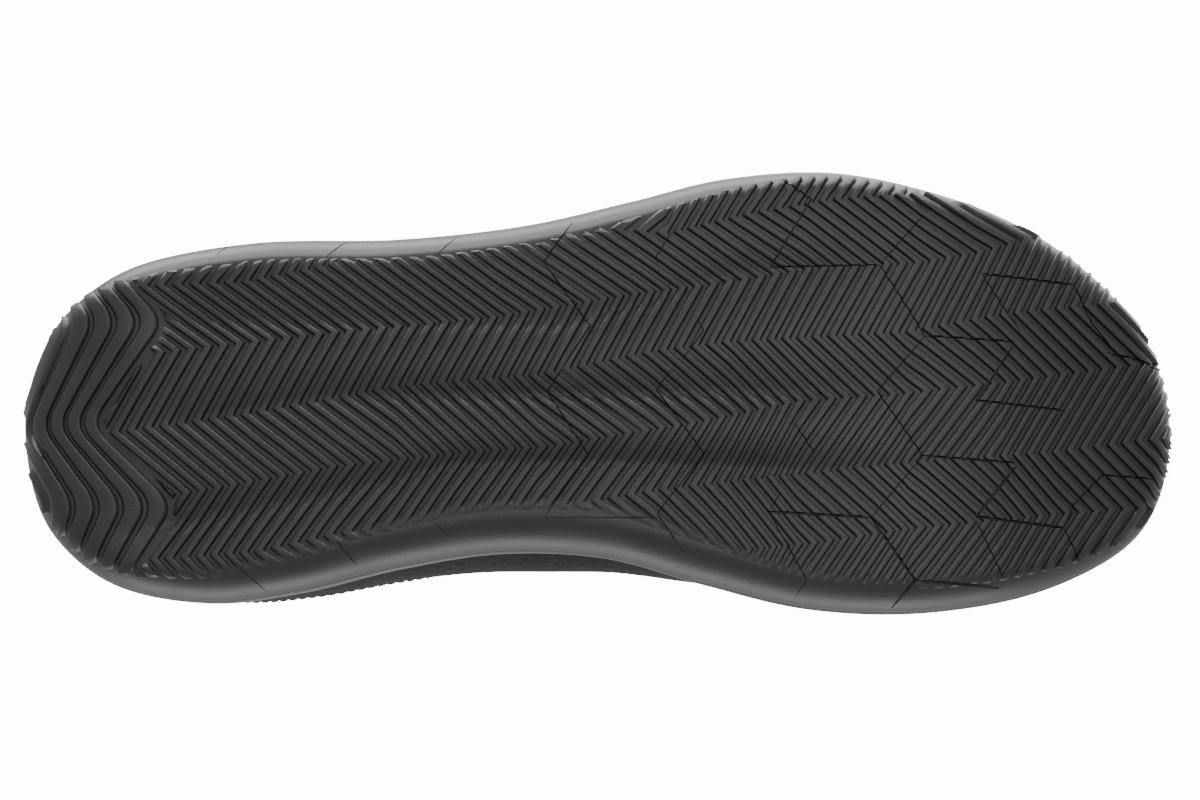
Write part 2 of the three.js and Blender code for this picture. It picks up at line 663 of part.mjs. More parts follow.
// A point of the tongue: rib down its middle, across from -1 to 1. Its sections are square to the ridge.
function onTongue(rib, across, off) {
  const side = across < 0 ? -1 : 1;
  const share = 1 - smooth(rib, TONGUE.topRib, TONGUE.baseRib);
  const up = 1 - Math.abs(across) * lerp(TONGUE.baseHalf, TONGUE.topHalf, share);
  const middle = onUpper(rib, 1, 1, off);
  const heading = onUpper(rib - 0.2, 1, 1, off).sub(onUpper(rib + 0.2, 1, 1, off)).normalize();
  let low = rib - 9;
  let high = rib + 4;
  for (let n = 0; n < 24; n += 1) {
    const guess = (low + high) / 2;
    if (onUpper(guess, side, up, off).sub(middle).dot(heading) > 0) low = guess;
    else high = guess;
  }
  return onUpper((low + high) / 2, side, up, off);
}

// A layer of the tongue between two depths below the upper's inner face.
function tongueLayer(outside, inside, shrink = 1, topRib = TONGUE.topRib, steps = 12) {
  const across = Array.from({ length: 9 }, (_, k) => lerp(-1, 1, k / 8) * shrink);
  const ribs = Array.from({ length: steps + 1 }, (_, k) => lerp(TONGUE.baseRib, topRib, k / steps));
  const face = (depth) => ribs.map((rib) => across.map((w) => onTongue(rib, w, -depth)));
  return sheet(face(outside), face(inside));
}

const tongue = new THREE.Group();
shoe.add(tongue);
const TONGUE_FOAM_TOP = TONGUE_DROP + TONGUE_COVER + GAP;
const TONGUE_FOAM_BOTTOM = TONGUE_FOAM_TOP + TONGUE_THICKNESS - 2 * TONGUE_COVER - 2 * GAP;
add('tongue_cover', tongueLayer(TONGUE_DROP, TONGUE_DROP + TONGUE_COVER), MESH_FABRIC, tongue);
add('tongue_foam', tongueLayer(TONGUE_FOAM_TOP, TONGUE_FOAM_BOTTOM, 0.95), FOAM, tongue);
add(
  'tongue_lining',
  tongueLayer(TONGUE_FOAM_BOTTOM + GAP, TONGUE_FOAM_BOTTOM + GAP + TONGUE_COVER),
  LINING_FABRIC,
  tongue,
);

// Strip stitched under the throat of the vamp, which the tongue's front end hangs on.
const ANCHOR_RIB = 19.3;
add('tongue_anchor', tongueLayer(0.6, TONGUE_DROP - GAP, 0.7, ANCHOR_RIB, 1), WEBBING);

// ---------------------------------------------------------------- tapes
// A flat tape: stops are { at, wide } with wide the direction of its width; narrow shrinks it in an eyelet.
function tape(stops, width, thickness) {
  const rows = stops.map(({ at, wide, narrow = 1 }, k) => {
    const before = stops[Math.max(k - 1, 0)].at;
    const after = stops[Math.min(k + 1, stops.length - 1)].at;
    const heading = after.clone().sub(before).normalize();
    const thick = new THREE.Vector3().crossVectors(wide, heading).normalize();
    const [w, t] = [(width / 2) * narrow, thickness / 2];
    const corners = [[-w, 0], [-0.8 * w, -t], [0.8 * w, -t], [w, 0], [0.8 * w, t], [-0.8 * w, t]];
    const ring = corners.map(([u, v]) => at.clone().addScaledVector(wide, u).addScaledVector(thick, v));
    return [...ring, ring[0]];
  });
  const cap = (ring, flip) =>
    [1, 2, 3, 4].map((k) => (flip ? [ring[0], ring[k + 1], ring[k]] : [ring[0], ring[k], ring[k + 1]]));
  return weld([...gridFaces(rows), ...cap(rows[0], true), ...cap(rows[rows.length - 1], false)]);
}

// The lace runs straight over the tongue from eyelet to eyelet, and slants up to the next row below.
function lace() {
  const stops = [];
  const bed = OVERLAY_OUT + GAP + LACE_THICKNESS / 2;
  const over = bed + 0.4 + FLANGE_THICKNESS;
  const under = -(GAP + LACE_THICKNESS / 2 + LACE_DEPTH);
  const heading = (row) => {
    const { rib } = eyeletPlace(row);
    return onUpper(rib - 0.3, 1, 1, 0).sub(onUpper(rib + 0.3, 1, 1, 0)).normalize();
  };
  // Through an eyelet, from below to above: [distance off the foot, width].
  const hole = [[under - 0.1, 0.34], [SHELL_IN, 0.32], [OVERLAY_OUT + 1, 0.32], [over + 1.1, 0.38]];
  const through = (row, side) => {
    const { rib, up } = eyeletPlace(row);
    const normal = normalAt(rib, side, up, SHELL_OUT);
    const middle = onUpper(rib, side, up, OVERLAY_OUT);
    return hole.map(([off, narrow]) => ({
      at: middle.clone().addScaledVector(normal, off - OVERLAY_OUT),
      wide: heading(row),
      narrow,
    }));
  };
  const flapEdge = (row, side) => {
    const { rib } = eyeletPlace(row);
    return onUpper(rib, side, topOf(rib) + 0.01, bed + 0.8);
  };
  for (const row of rowNumbers) {
    const { rib } = eyeletPlace(row);
    const [from, to] = [flapEdge(row, -1), flapEdge(row, 1)];
    stops.push(...through(row, -1));
    for (const share of [0, 0.25, 0.5, 0.75, 1]) {
      const at = from.clone().lerp(to, share);
      at.addScaledVector(normalAt(rib, 1, 0.98, 0), 2 * Math.sin(Math.PI * share));
      stops.push({ at, wide: heading(row), narrow: 1 });
    }
    stops.push(...through(row, 1).reverse());
    if (row + 1 === EYELET_ROWS) break;
    const [start, end] = [eyeletPlace(row), eyeletPlace(row + 1)];
    for (const share of [0.14, 0.32, 0.5, 0.68, 0.86]) {
      const across = 1 - 2 * share;
      const up = 1 - Math.abs(across) * (1 - lerp(start.up, end.up, share));
      const at = onUpper(lerp(start.rib, end.rib, share), across < 0 ? -1 : 1, up, under);
      stops.push({ at, wide: heading(row), narrow: 0.8 });
    }
  }
  return tape(stops, LACE_WIDTH, LACE_THICKNESS);
}
add('lace', lace(), WEBBING);

export default shoe;
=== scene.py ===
import math

import bmesh
import bpy
import numpy as np
from mathutils import Matrix, Vector


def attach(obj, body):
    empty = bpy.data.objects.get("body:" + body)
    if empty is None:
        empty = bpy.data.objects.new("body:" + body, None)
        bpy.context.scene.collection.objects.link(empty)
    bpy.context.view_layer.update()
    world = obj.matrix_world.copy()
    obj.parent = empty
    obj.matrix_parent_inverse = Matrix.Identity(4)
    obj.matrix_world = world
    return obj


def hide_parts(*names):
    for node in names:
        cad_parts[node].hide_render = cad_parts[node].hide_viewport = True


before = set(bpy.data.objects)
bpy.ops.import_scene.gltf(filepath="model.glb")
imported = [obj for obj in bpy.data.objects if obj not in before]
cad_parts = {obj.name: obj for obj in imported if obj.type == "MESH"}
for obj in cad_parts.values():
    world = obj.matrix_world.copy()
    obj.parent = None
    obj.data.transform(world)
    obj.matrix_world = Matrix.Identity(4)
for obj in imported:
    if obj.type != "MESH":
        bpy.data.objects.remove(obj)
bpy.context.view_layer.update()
MM = 0.001

# ---------------------------------------------------------------- camera
# It looks up at the tread from below. The toe points to the right and the lateral side is up, and a lean
# of a few degrees to the medial side shows the upper at the waist.
CAMERA_LEAN = math.radians(8.2)
CAMERA_DISTANCE = 0.856
LOOK_AT = Vector((0.0033, 0, 0.004))
camera = bpy.data.objects.new("camera", bpy.data.cameras.new("camera"))
bpy.context.scene.collection.objects.link(camera)
camera.data.sensor_width = 36
camera.data.lens = 100
camera.data.clip_start = 0.01
back = Vector((math.sin(CAMERA_LEAN), 0, -math.cos(CAMERA_LEAN)))
right = Vector((0, -1, 0))
upward = back.cross(right)
camera.matrix_world = Matrix.Translation(LOOK_AT + back * CAMERA_DISTANCE) @ Matrix(
    (right, upward, back)
).transposed().to_4x4()
bpy.context.scene.camera = camera

# ---------------------------------------------------------------- outsole
# Moulded rubber with proud herringbone ribs on a smooth dish, whose edge rolls up the side of the foam.
# It is one moulding: the ribs, the shallow bars under them and the rolled edge come out of one tool.
SOLE_LENGTH = 300
SOLE_WIDTH = 115.5
HALF = SOLE_LENGTH / 2
TOE_SPRING = 16
HEEL_BEVEL = 8
WRAP_HEIGHT = 11
WRAP_RADIUS = 9
WRAP_ROUNDNESS = 1.8
RUBBER = 4.5
RIB_HEIGHT = 1.1

# The sole's edge: [along, from heel -1 to toe 1; across, medial 1 to lateral -1].
OUTLINE = [
    (-1, 0.19), (-0.94, 0.655), (-0.813, 0.89), (-0.667, 0.95), (-0.52, 0.903), (-0.347, 0.795),
    (-0.173, 0.727), (0, 0.746), (0.175, 0.868), (0.35, 0.977), (0.52, 1), (0.7, 0.937), (0.84, 0.805),
    (0.943, 0.615), (1, 0.21), (0.965, -0.24), (0.873, -0.528), (0.747, -0.75), (0.6, -0.897),
    (0.4, -0.998), (0.22, -0.97), (0.05, -0.862), (-0.133, -0.753), (-0.347, -0.691), (-0.6, -0.674),
    (-0.8, -0.573), (-0.92, -0.38), (-0.98, -0.135),
]


def trace_outline(per_span=100):
    """The sole's edge as a dense closed line of (across, along) in mm: a centripetal Catmull-Rom curve."""
    points = np.array([(x, a) for a, x in OUTLINE], float)
    line = []
    for k in range(len(points)):
        p0, p1, p2, p3 = (points[(k + j) % len(points)] for j in (-1, 0, 1, 2))
        d0, d1, d2 = (max(np.hypot(*(q - p)) ** 0.5, 1e-6) for p, q in ((p0, p1), (p1, p2), (p2, p3)))
        t1 = ((p1 - p0) / d0 - (p2 - p0) / (d0 + d1) + (p2 - p1) / d1) * d1
        t2 = ((p2 - p1) / d1 - (p3 - p1) / (d1 + d2) + (p3 - p2) / d2) * d1
        t = np.linspace(0, 1, per_span, endpoint=False)[:, None]
        line.append(
            (2 * t**3 - 3 * t**2 + 1) * p1 + (t**3 - 2 * t**2 + t) * t1
            + (3 * t**2 - 2 * t**3) * p2 + (t**3 - t**2) * t2
        )
    line = np.vstack(line)
    low, high = line.min(0), line.max(0)
    return ((line - low) / (high - low) - 0.5) * (SOLE_WIDTH, SOLE_LENGTH)


edge_line = trace_outline()
heading = np.roll(edge_line, -1, 0) - np.roll(edge_line, 1, 0)
heading /= np.linalg.norm(heading, axis=1)[:, None]
edge_out = np.stack([heading[:, 1], -heading[:, 0]], 1)
heel_at, toe_at = int(edge_line[:, 1].argmin()), int(edge_line[:, 1].argmax())


def half_edge(side):
    """One side of the edge from heel to toe: its points and outward directions."""
    count = len(edge_line)
    step = 1 if side > 0 else -1
    steps = ((toe_at - heel_at) * step) % count
    order = (heel_at + step * np.arange(steps + 1)) % count
    out = edge_out[order].copy()
    out[0], out[-1] = (0, -1), (0, 1)
    return edge_line[order], out


edges = {1: half_edge(1), -1: half_edge(-1)}
along_of = lambda u: -HALF * np.cos(np.pi * np.asarray(u, float))


def edge(u, side, inset=0.0):
    """Across, along and outward direction at u, from 0 at the heel to 1 at the toe, moved in by inset."""
    line, out = edges[side]
    a = along_of(u)
    x = np.interp(a, line[:, 1], line[:, 0])
    out_x = np.interp(a, line[:, 1], out[:, 0])
    out_a = np.interp(a, line[:, 1], out[:, 1])
    return x - inset * out_x, a - inset * out_a, out_x, out_a


def ease(x, low, high):
    t = np.clip((np.asarray(x, float) - low) / (high - low), 0, 1)
    return t * t * (3 - 2 * t)


def tread_height(a):
    heel = np.clip((-a / HALF - 0.77) / 0.23, 0, 1.2)
    toe = np.clip((a / HALF - 0.4) / 0.6, 0, 1.2)
    return HEEL_BEVEL * heel**2 + TOE_SPRING * toe**2


def roll(d):
    """Height of the rolled edge above the tread, d in from the side."""
    share = np.clip((WRAP_RADIUS - np.asarray(d, float)) / WRAP_RADIUS, 0, 1)
    return WRAP_HEIGHT * (1 - (1 - share**WRAP_ROUNDNESS) ** (1 / WRAP_ROUNDNESS))


# The distance to the side of the sole, on a grid of 1 mm, and the way out to it.
GRID_X, GRID_A = np.arange(-66, 67), np.arange(-158, 159)
cells = np.stack(np.meshgrid(GRID_X, GRID_A, indexing="ij"), -1).reshape(-1, 2).astype(float)
thin_line, thin_out = edge_line[::4], edge_out[::4]
nearest = np.concatenate(
    [((part[:, None] - thin_line) ** 2).sum(2).argmin(1) for part in np.array_split(cells, 40)]
)
inward = -((cells - thin_line[nearest]) * thin_out[nearest]).sum(1)
side_map = np.concatenate([inward[:, None], thin_out[nearest]], 1).reshape(len(GRID_X), len(GRID_A), 3)


def from_side(x, a):
    """Distance in from the side of the sole and the outward direction, at any places."""
    fx = np.clip(x - GRID_X[0], 0, len(GRID_X) - 1.001)
    fa = np.clip(a - GRID_A[0], 0, len(GRID_A) - 1.001)
    i, j = fx.astype(int), fa.astype(int)
    s, t = (fx - i)[..., None], (fa - j)[..., None]
    found = (
        side_map[i, j] * (1 - s) * (1 - t) + side_map[i + 1, j] * s * (1 - t)
        + side_map[i, j + 1] * (1 - s) * t + side_map[i + 1, j + 1] * s * t
    )
    out = found[..., 1:]
    return found[..., 0], out / np.maximum(np.linalg.norm(out, axis=-1, keepdims=True), 1e-6)


# Creases between the shallow bars that run along the sole: [along, across] in mm.
CREASES = [
    [(-150, -20), (-113, -16.7), (-10, -16.4), (6, -20), (35, -29), (72, -32), (150, -36)],
    [(-150, 16), (-124, 12), (-71, 3), (50, 2), (150, -6)],
    [(-150, 44), (-69, 28), (-52, 24), (-37, 20), (0, 19.5), (60, 22), (150, 18)],
]
BAR_SWELL = 1.7


def bars(x, a, d):
    """How deep the rubber lies under the tops of the bars."""
    lines = [np.interp(a, *np.array(c).T) for c in CREASES]
    walls = [np.full_like(a, -56.0), *lines, np.full_like(a, 56.0)]
    depth = np.zeros_like(a)
    for low, high in zip(walls, walls[1:]):
        t = np.clip((x - low) / (high - low), 0, 1) ** 0.92
        depth = np.where((x >= low) & (x < high), 1 - 4 * t * (1 - t), depth)
    fade = np.clip((a + 128) / 20, 0, 1) * np.clip((100 - a) / 60, 0, 1) * np.clip((d - 5) / 8, 0, 1)
    return BAR_SWELL * depth * fade


# Width of the smooth band between the ribs and the side of the sole: [along, width] in mm.
LATERAL_BAND = [(-150, 0.8), (-132, 1.2), (-118, 5), (-100, 6.5), (0, 6.5), (30, 5), (60, 2.6), (110, 1.5), (150, 0.5)]
MEDIAL_BAND = [(-150, 0.8), (-130, 1.5), (-112, 4.5), (-80, 6.5), (-40, 9), (0, 10), (30, 8.5), (60, 6), (110, 4.5),
               (135, 2), (150, 0.5)]


def centre_line(a):
    return np.interp(a, [-150, -100, -50, 0, 50, 100, 150], [11, 7, 2, -1, -1, 3, 8])


def band_width(x, a):
    lateral = np.interp(a, *np.array(LATERAL_BAND, float).T)
    medial = np.interp(a, *np.array(MEDIAL_BAND, float).T)
    return np.where(x < centre_line(a), lateral, medial)


def groove_share(x, a, d):
    """Depth of the grooves: they run out into the smooth band of the medial side, and half on the lateral side."""
    width = band_width(x, a)
    fading = (1 - ease(d, width, width + 4.5)) * ease(width, 3, 6)
    return 1 - fading * np.where(x > centre_line(a), 1, 0.6)


def dish(x, a, d):
    """Height of the smooth rubber between the ribs, above the tread."""
    flat = RIB_HEIGHT * groove_share(x, a, d) + bars(x, a, d)
    curve = roll(d)
    return np.maximum(flat, curve) + 0.35 * np.exp(-np.abs(flat - curve) / 0.5)


def smooth_shape(mesh, angle=35):
    mesh.polygons.foreach_set("use_smooth", [True] * len(mesh.polygons))
    mesh.set_sharp_from_angle(angle=math.radians(angle))


def make_mesh(name, points, faces, finish, angle=35, cloth=None):
    """A piece from points in mm, as (across, along towards the toe, up). cloth is its own coordinates in mm."""
    points = np.asarray(points, float) * (MM, -MM, MM)
    mesh = bpy.data.meshes.new(name)
    mesh.from_pydata(points.tolist(), [], [list(f) for f in faces])
    if cloth is not None:
        corners = np.empty(len(mesh.loops), int)
        mesh.loops.foreach_get("vertex_index", corners)
        mesh.uv_layers.new(name="cloth").data.foreach_set("uv", np.asarray(cloth)[corners].ravel())
    work = bmesh.new()
    work.from_mesh(mesh)
    bmesh.ops.remove_doubles(work, verts=work.verts, dist=2e-6)
    bmesh.ops.dissolve_degenerate(work, edges=work.edges, dist=1e-6)
    bmesh.ops.recalc_face_normals(work, faces=work.faces)
    work.to_mesh(mesh)
    work.free()
    smooth_shape(mesh, angle)
    mesh.materials.append(finish)
    piece = bpy.data.objects.new(name, mesh)
    bpy.context.scene.collection.objects.link(piece)
    return piece


def grid_faces(rows, columns, start=0, closed=False):
    """Quads of a grid of points stored row by row."""
    wide = columns if closed else columns - 1
    r, c = np.meshgrid(np.arange(rows - 1), np.arange(wide), indexing="ij")
    r, c = r.ravel(), c.ravel()
    after = (c + 1) % columns
    return start + np.stack([r * columns + c, r * columns + after, (r + 1) * columns + after, (r + 1) * columns + c], 1)


def node(tree, kind, inputs=None, **settings):
    """A shader node with its settings and its inputs, which are values or links."""
    made = tree.nodes.new(kind)
    for key, value in settings.items():
        setattr(made, key, value)
    for key, value in (inputs or {}).items():
        if isinstance(value, bpy.types.NodeSocket):
            tree.links.new(value, made.inputs[key])
        else:
            made.inputs[key].default_value = value
    return made


def sums(tree, operation, *values):
    return node(tree, "ShaderNodeMath", dict(enumerate(values)), operation=operation).outputs[0]


def effect(name, inputs, outputs):
    """An empty shader node group: the tree, its inputs and its output node."""
    tree = bpy.data.node_groups.new(name, "ShaderNodeTree")
    kinds = {"V": "NodeSocketVector", "F": "NodeSocketFloat", "C": "NodeSocketColor"}
    for label, kind in inputs.items():
        tree.interface.new_socket(label, in_out="INPUT", socket_type=kinds[kind])
    for label, kind in outputs.items():
        tree.interface.new_socket(label, in_out="OUTPUT", socket_type=kinds[kind])
    return tree, tree.nodes.new("NodeGroupInput").outputs, tree.nodes.new("NodeGroupOutput").inputs


def moulded_effect():
    """The skin of a moulding: fine grain, cloudy fading, and specks of dust."""
    tree, given, result = effect(
        "moulded_skin", {"Place": "V", "Grain": "F", "Clouds": "F", "Base": "C", "Faded": "C", "Rough": "F", "Spread": "F"},
        {"Color": "C", "Roughness": "F", "Height": "F"})
    clouds = node(tree, "ShaderNodeTexNoise", {"Vector": given["Place"], "Scale": given["Clouds"], "Detail": 5.0,
                                               "Roughness": 0.62})
    grain = node(tree, "ShaderNodeTexNoise", {"Vector": given["Place"], "Scale": given["Grain"], "Detail": 3.0})
    specks = node(tree, "ShaderNodeTexVoronoi", {"Vector": given["Place"], "Scale": 420.0, "Randomness": 1.0})
    fade = node(tree, "ShaderNodeMapRange", {"Value": clouds.outputs[0], "From Min": 0.36, "From Max": 0.68})
    dust = node(tree, "ShaderNodeMapRange", {"Value": specks.outputs["Distance"], "From Min": 0.1, "From Max": 0.04})
    some = sums(tree, "GREATER_THAN", specks.outputs["Color"], 0.8)
    dusty = sums(tree, "MULTIPLY", sums(tree, "MULTIPLY", dust.outputs[0], some), 0.35)
    share = sums(tree, "MAXIMUM", fade.outputs[0], dusty)
    color = node(tree, "ShaderNodeMix", {0: share, 6: given["Base"], 7: given["Faded"]}, data_type="RGBA")
    tree.links.new(color.outputs[2], result["Color"])
    swing = sums(tree, "SUBTRACT", clouds.outputs[0], 0.5)
    tree.links.new(sums(tree, "MULTIPLY_ADD", swing, given["Spread"], given["Rough"]), result["Roughness"])
    tree.links.new(grain.outputs[0], result["Height"])
    return tree


moulded_skin = moulded_effect()


def moulding(name, base, faded, roughness, spread=0.25, grain=1600.0, clouds=45.0, bump=0.06, depth=0.0002, **sockets):
    """A finish for moulded and fused pieces. sockets are plain values of the shader's own."""
    finish = bpy.data.materials.new(name)
    finish.use_nodes = True
    tree = finish.node_tree
    place = node(tree, "ShaderNodeTexCoord").outputs["Object"]
    skin = node(tree, "ShaderNodeGroup", node_tree=moulded_skin)
    for label, value in (("Grain", grain), ("Clouds", clouds), ("Base", (*base, 1)), ("Faded", (*faded, 1)),
                         ("Rough", roughness), ("Spread", spread)):
        skin.inputs[label].default_value = value
    tree.links.new(place, skin.inputs["Place"])
    shader = tree.nodes["Principled BSDF"]
    tree.links.new(skin.outputs["Color"], shader.inputs["Base Color"])
    tree.links.new(skin.outputs["Roughness"], shader.inputs["Roughness"])
    relief = node(tree, "ShaderNodeBump", {"Height": skin.outputs["Height"], "Strength": bump, "Distance": depth})
    tree.links.new(relief.outputs[0], shader.inputs["Normal"])
    for label, value in sockets.items():
        shader.inputs[label.replace("_", " ")].default_value = value
    return finish


rubber = moulding("tread_rubber", (0.016, 0.016, 0.0175), (0.025, 0.025, 0.027), 0.4, bump=0.25)

RIBS_ALONG = 200
u_list = np.linspace(0, 1, RIBS_ALONG + 1)
outer_d = np.array([0.15, 0.25, 0.4, 0.7, 1.1, 1.6, 2.2, 2.9, 3.7, 4.6, 5.5, 6.2, 7, 8, 9])
inner_wall = [(9, RUBBER), (5.6, RUBBER + 0.9), (3.8, RUBBER + 3.2), (3, WRAP_HEIGHT), (1.5, WRAP_HEIGHT + 0.2)]
ACROSS = 48


def outsole_dish():
    sections = []
    for side in (1, -1):
        column = []
        for inset, height in inner_wall:
            x, a, _, _ = edge(u_list, side, inset)
            column.append(np.stack([x, a, tread_height(a) + height], 1))
        for inset in outer_d:
            x, a, _, _ = edge(u_list, side, inset)
            column.append(np.stack([x, a, tread_height(a) + dish(x, a, np.full_like(x, inset))], 1))
        sections.append(column)
    medial, lateral = sections
    bridge = []
    for share in np.linspace(0, 1, ACROSS + 1)[1:-1]:
        p = medial[-1] * (1 - share) + lateral[-1] * share
        x, a = p[:, 0], p[:, 1]
        d, _ = from_side(x, a)
        bridge.append(np.stack([x, a, tread_height(a) + dish(x, a, np.maximum(d, outer_d[-1]))], 1))
    loop = [*medial, *bridge, *lateral[::-1]]
    rows = np.stack(loop, 1)
    return rows.reshape(-1, 3), grid_faces(rows.shape[0], rows.shape[1], closed=True)


outsole = make_mesh("outsole_rubber", *outsole_dish(), rubber, 40)

# Rib folds, the lines where the herringbone turns: [along, across] in mm, from the lateral side.
FOLDS = [
    [(-150, -24), (-114, -26), (-92, -27), (-71, -31), (-50, -38), (-20, -43), (17, -39.5), (37, -44.5),
     (59, -48.5), (80, -50), (110, -54), (150, -60)],
    [(-150, -5), (-113, -8.5), (-67, -14), (-27, -18), (11, -24.3), (35, -27.4), (53, -30.5), (83, -32.4),
     (97, -35), (110, -39), (150, -50)],
    [(-150, 16), (-124, 12), (-87, 6.5), (-52, 0), (-16, -2.8), (13, -8.8), (33, -11.4), (79, -14),
     (103, -19), (125, -22), (150, -26)],
    [(-150, 34), (-104, 27.4), (-67, 20.8), (-37, 17.4), (-13, 15.6), (26, 9.3), (50, 4), (77, 2),
     (103, -1.2), (150, -9)],
    [(-150, 46), (-110, 44.4), (-87, 42.6), (-67, 38), (-47, 35.5), (-10, 31), (16, 26.6), (69, 20.6),
     (117, 16.4), (150, 11)],
    [(-150, 62), (-20, 50), (24, 43.5), (54, 40.5), (80, 36.6), (122, 32), (150, 29)],
]
SLOPES = [-0.8, 1.19, -0.59, 1.0, -0.76, 0.95, -0.8]  # run of a rib along the sole per step across it
RIB_PITCH = 4.06
HEEL_FOLDS = [[(-150, x), (150, x)] for x in (-17, 10, 30.5)]
HEEL_SLOPES = [1.0, -0.68, 1.05, -0.6]
HEEL_PITCH = 4.4
HEEL_END = -129  # where the heel's last rib crosses its middle fold
HEEL_TURN = 3.5  # half the length over which a heel rib turns at a fold
# Height of a rib across its pitch: [share of the pitch, height]. The heel's ribs are wider.
RIB_PROFILE = [(0, 0.82), (0.05, 0.97), (0.1, 1), (0.4, 1), (0.45, 0.97), (0.5, 0.82), (0.6, 0), (0.9, 0)]
HEEL_PROFILE = [(0, 0.8), (0.05, 0.95), (0.13, 1), (0.53, 1), (0.61, 0.95), (0.66, 0.8), (0.76, 0), (0.9, 0)]
RIB_END = 1.1


def rib_field(folds, slopes, pitch, profile, first, last, inside, phase=0, row_step=1.0, soft=0.0, fan=None):
    """A closed sheet of ribs. Its columns follow the ribs and its rows follow the folds, so both stay sharp.
    inside(x, a, d) is the distance to the border of the field, where the ribs end in round tips.
    soft is half the length over which a rib turns at a fold, and fan scales its zigzag."""
    lines = [np.array(f, float).T for f in folds]
    fold_x = lambda k, a: np.interp(a, *lines[k])
    outer = 64.0
    last_fold = len(folds)
    rows = []
    for band in range(last_fold + 1):
        width = 46 if band in (0, last_fold) else 15
        rows += [band + k / int(width / row_step) for k in range(int(width / row_step))]
    rows = np.array(rows + [last_fold + 1.0]) - 1
    periods = np.arange(int(first / pitch), int(last / pitch))
    shares, heights = np.array(profile).T
    s = ((periods[:, None] + shares) * pitch).ravel() + phase
    height = np.tile(heights, len(periods))
    from_middle = np.abs(np.tile(shares, len(periods)) - profile[5][0] / 2) * pitch
    v, s = np.meshgrid(rows, s, indexing="ij")
    height, from_middle = np.broadcast_to(height, v.shape), np.broadcast_to(from_middle, v.shape)
    band = np.clip(np.floor(v + 1e-9).astype(int), -1, last_fold - 1)
    slope = np.array(slopes)[band + 1]
    reference = 1
    a = s.copy()
    for _ in range(14):
        walls = [np.full_like(a, -outer), *[fold_x(k, a) for k in range(last_fold)], np.full_like(a, outer)]
        walls = np.stack(walls)
        low = np.take_along_axis(walls, (band + 1)[None], 0)[0]
        high = np.take_along_axis(walls, (band + 2)[None], 0)[0]
        x = low + (high - low) * (v - band)
        run = np.zeros_like(a)
        shifts = np.linspace(-soft, soft, 7) if soft else [0.0]
        for shift in shifts:
            for k in range(last_fold + 1):
                start = np.clip(walls[reference + 1], walls[k], walls[k + 1])
                run += slopes[k] * (np.clip(x + shift, walls[k], walls[k + 1]) - start) / len(shifts)
        a = s + run * (fan(s) if fan else 1)
    d, out = from_side(x, a)
    border = inside(x, a, d)
    across = from_middle / np.hypot(1, slope)
    tip = RIB_END - np.sqrt(np.maximum(RIB_END**2 - np.minimum(across, RIB_END) ** 2, 0))
    rise = ease((border - tip) / 0.15, 0, 1) * height
    lift = np.where(border < 0, np.maximum(border, -1) * 0.6, rise * RIB_HEIGHT * groove_share(x, a, d))
    step = 0.05
    base = dish(x, a, d)
    lean = np.clip((dish(x, a, np.maximum(d - step, 0)) - base) / step, 0, 4)
    steep = np.sqrt(1 + lean**2)
    top = np.stack([
        x + out[..., 0] * lift * lean / steep,
        a + out[..., 1] * lift * lean / steep,
        tread_height(a) + base - lift / steep + 0.02,
    ], -1)
    keep_point = border > -1.2
    keep = keep_point[:-1, :-1] | keep_point[1:, :-1] | keep_point[:-1, 1:] | keep_point[1:, 1:]
    keep &= (d[:-1, :-1] > 0.3) & (d[1:, 1:] > 0.3) & (d[:-1, 1:] > 0.3) & (d[1:, :-1] > 0.3)
    for _ in range(6):
        one, two = keep[:-1, :-1] & keep[1:, 1:] & ~keep[1:, :-1] & ~keep[:-1, 1:], \
            keep[1:, :-1] & keep[:-1, 1:] & ~keep[:-1, :-1] & ~keep[1:, 1:]
        keep[:-1, :-1] &= ~one
        keep[1:, :-1] &= ~two
    columns = v.shape[1]
    quads = grid_faces(v.shape[0], columns)[keep.ravel()]
    bottom = top + (0, 0, 1.6)
    count = top.reshape(-1, 3).shape[0]
    pairs = np.sort(np.concatenate([quads[:, [k, (k + 1) % 4]] for k in range(4)]), axis=1)
    directed = np.concatenate([quads[:, [k, (k + 1) % 4]] for k in range(4)])
    _, where, times = np.unique(pairs, axis=0, return_index=True, return_counts=True)
    border_edges = directed[where[times == 1]]
    walls = np.stack([border_edges[:, 1], border_edges[:, 0], border_edges[:, 0] + count, border_edges[:, 1] + count], 1)
    faces = np.vstack([quads, quads[:, ::-1] + count, walls])
    points = np.vstack([top.reshape(-1, 3), bottom.reshape(-1, 3)])
    used = np.unique(faces)
    number = np.zeros(len(points), int)
    number[used] = np.arange(len(used))
    return points[used], number[faces]


# The main ribs start where the heel's last rib ends.
seam_x = np.linspace(-64, 64, 129)
seam_walls = [-64.0, *[fold[0][1] for fold in HEEL_FOLDS], 64.0]
seam_a = np.full_like(seam_x, HEEL_END)
for shift in np.linspace(-HEEL_TURN, HEEL_TURN, 7):
    for slope, low, high in zip(HEEL_SLOPES, seam_walls, seam_walls[1:]):
        start = np.clip(seam_walls[2], low, high)
        seam_a += slope * (np.clip(seam_x + shift, low, high) - start) / 7


def seam_gap(x, a):
    return (a - np.interp(x, seam_x, seam_a)) * 0.75


def main_border(x, a, d):
    return np.minimum(d - band_width(x, a), seam_gap(x, a) - 0.5)


def heel_border(x, a, d):
    return d - band_width(x, a)


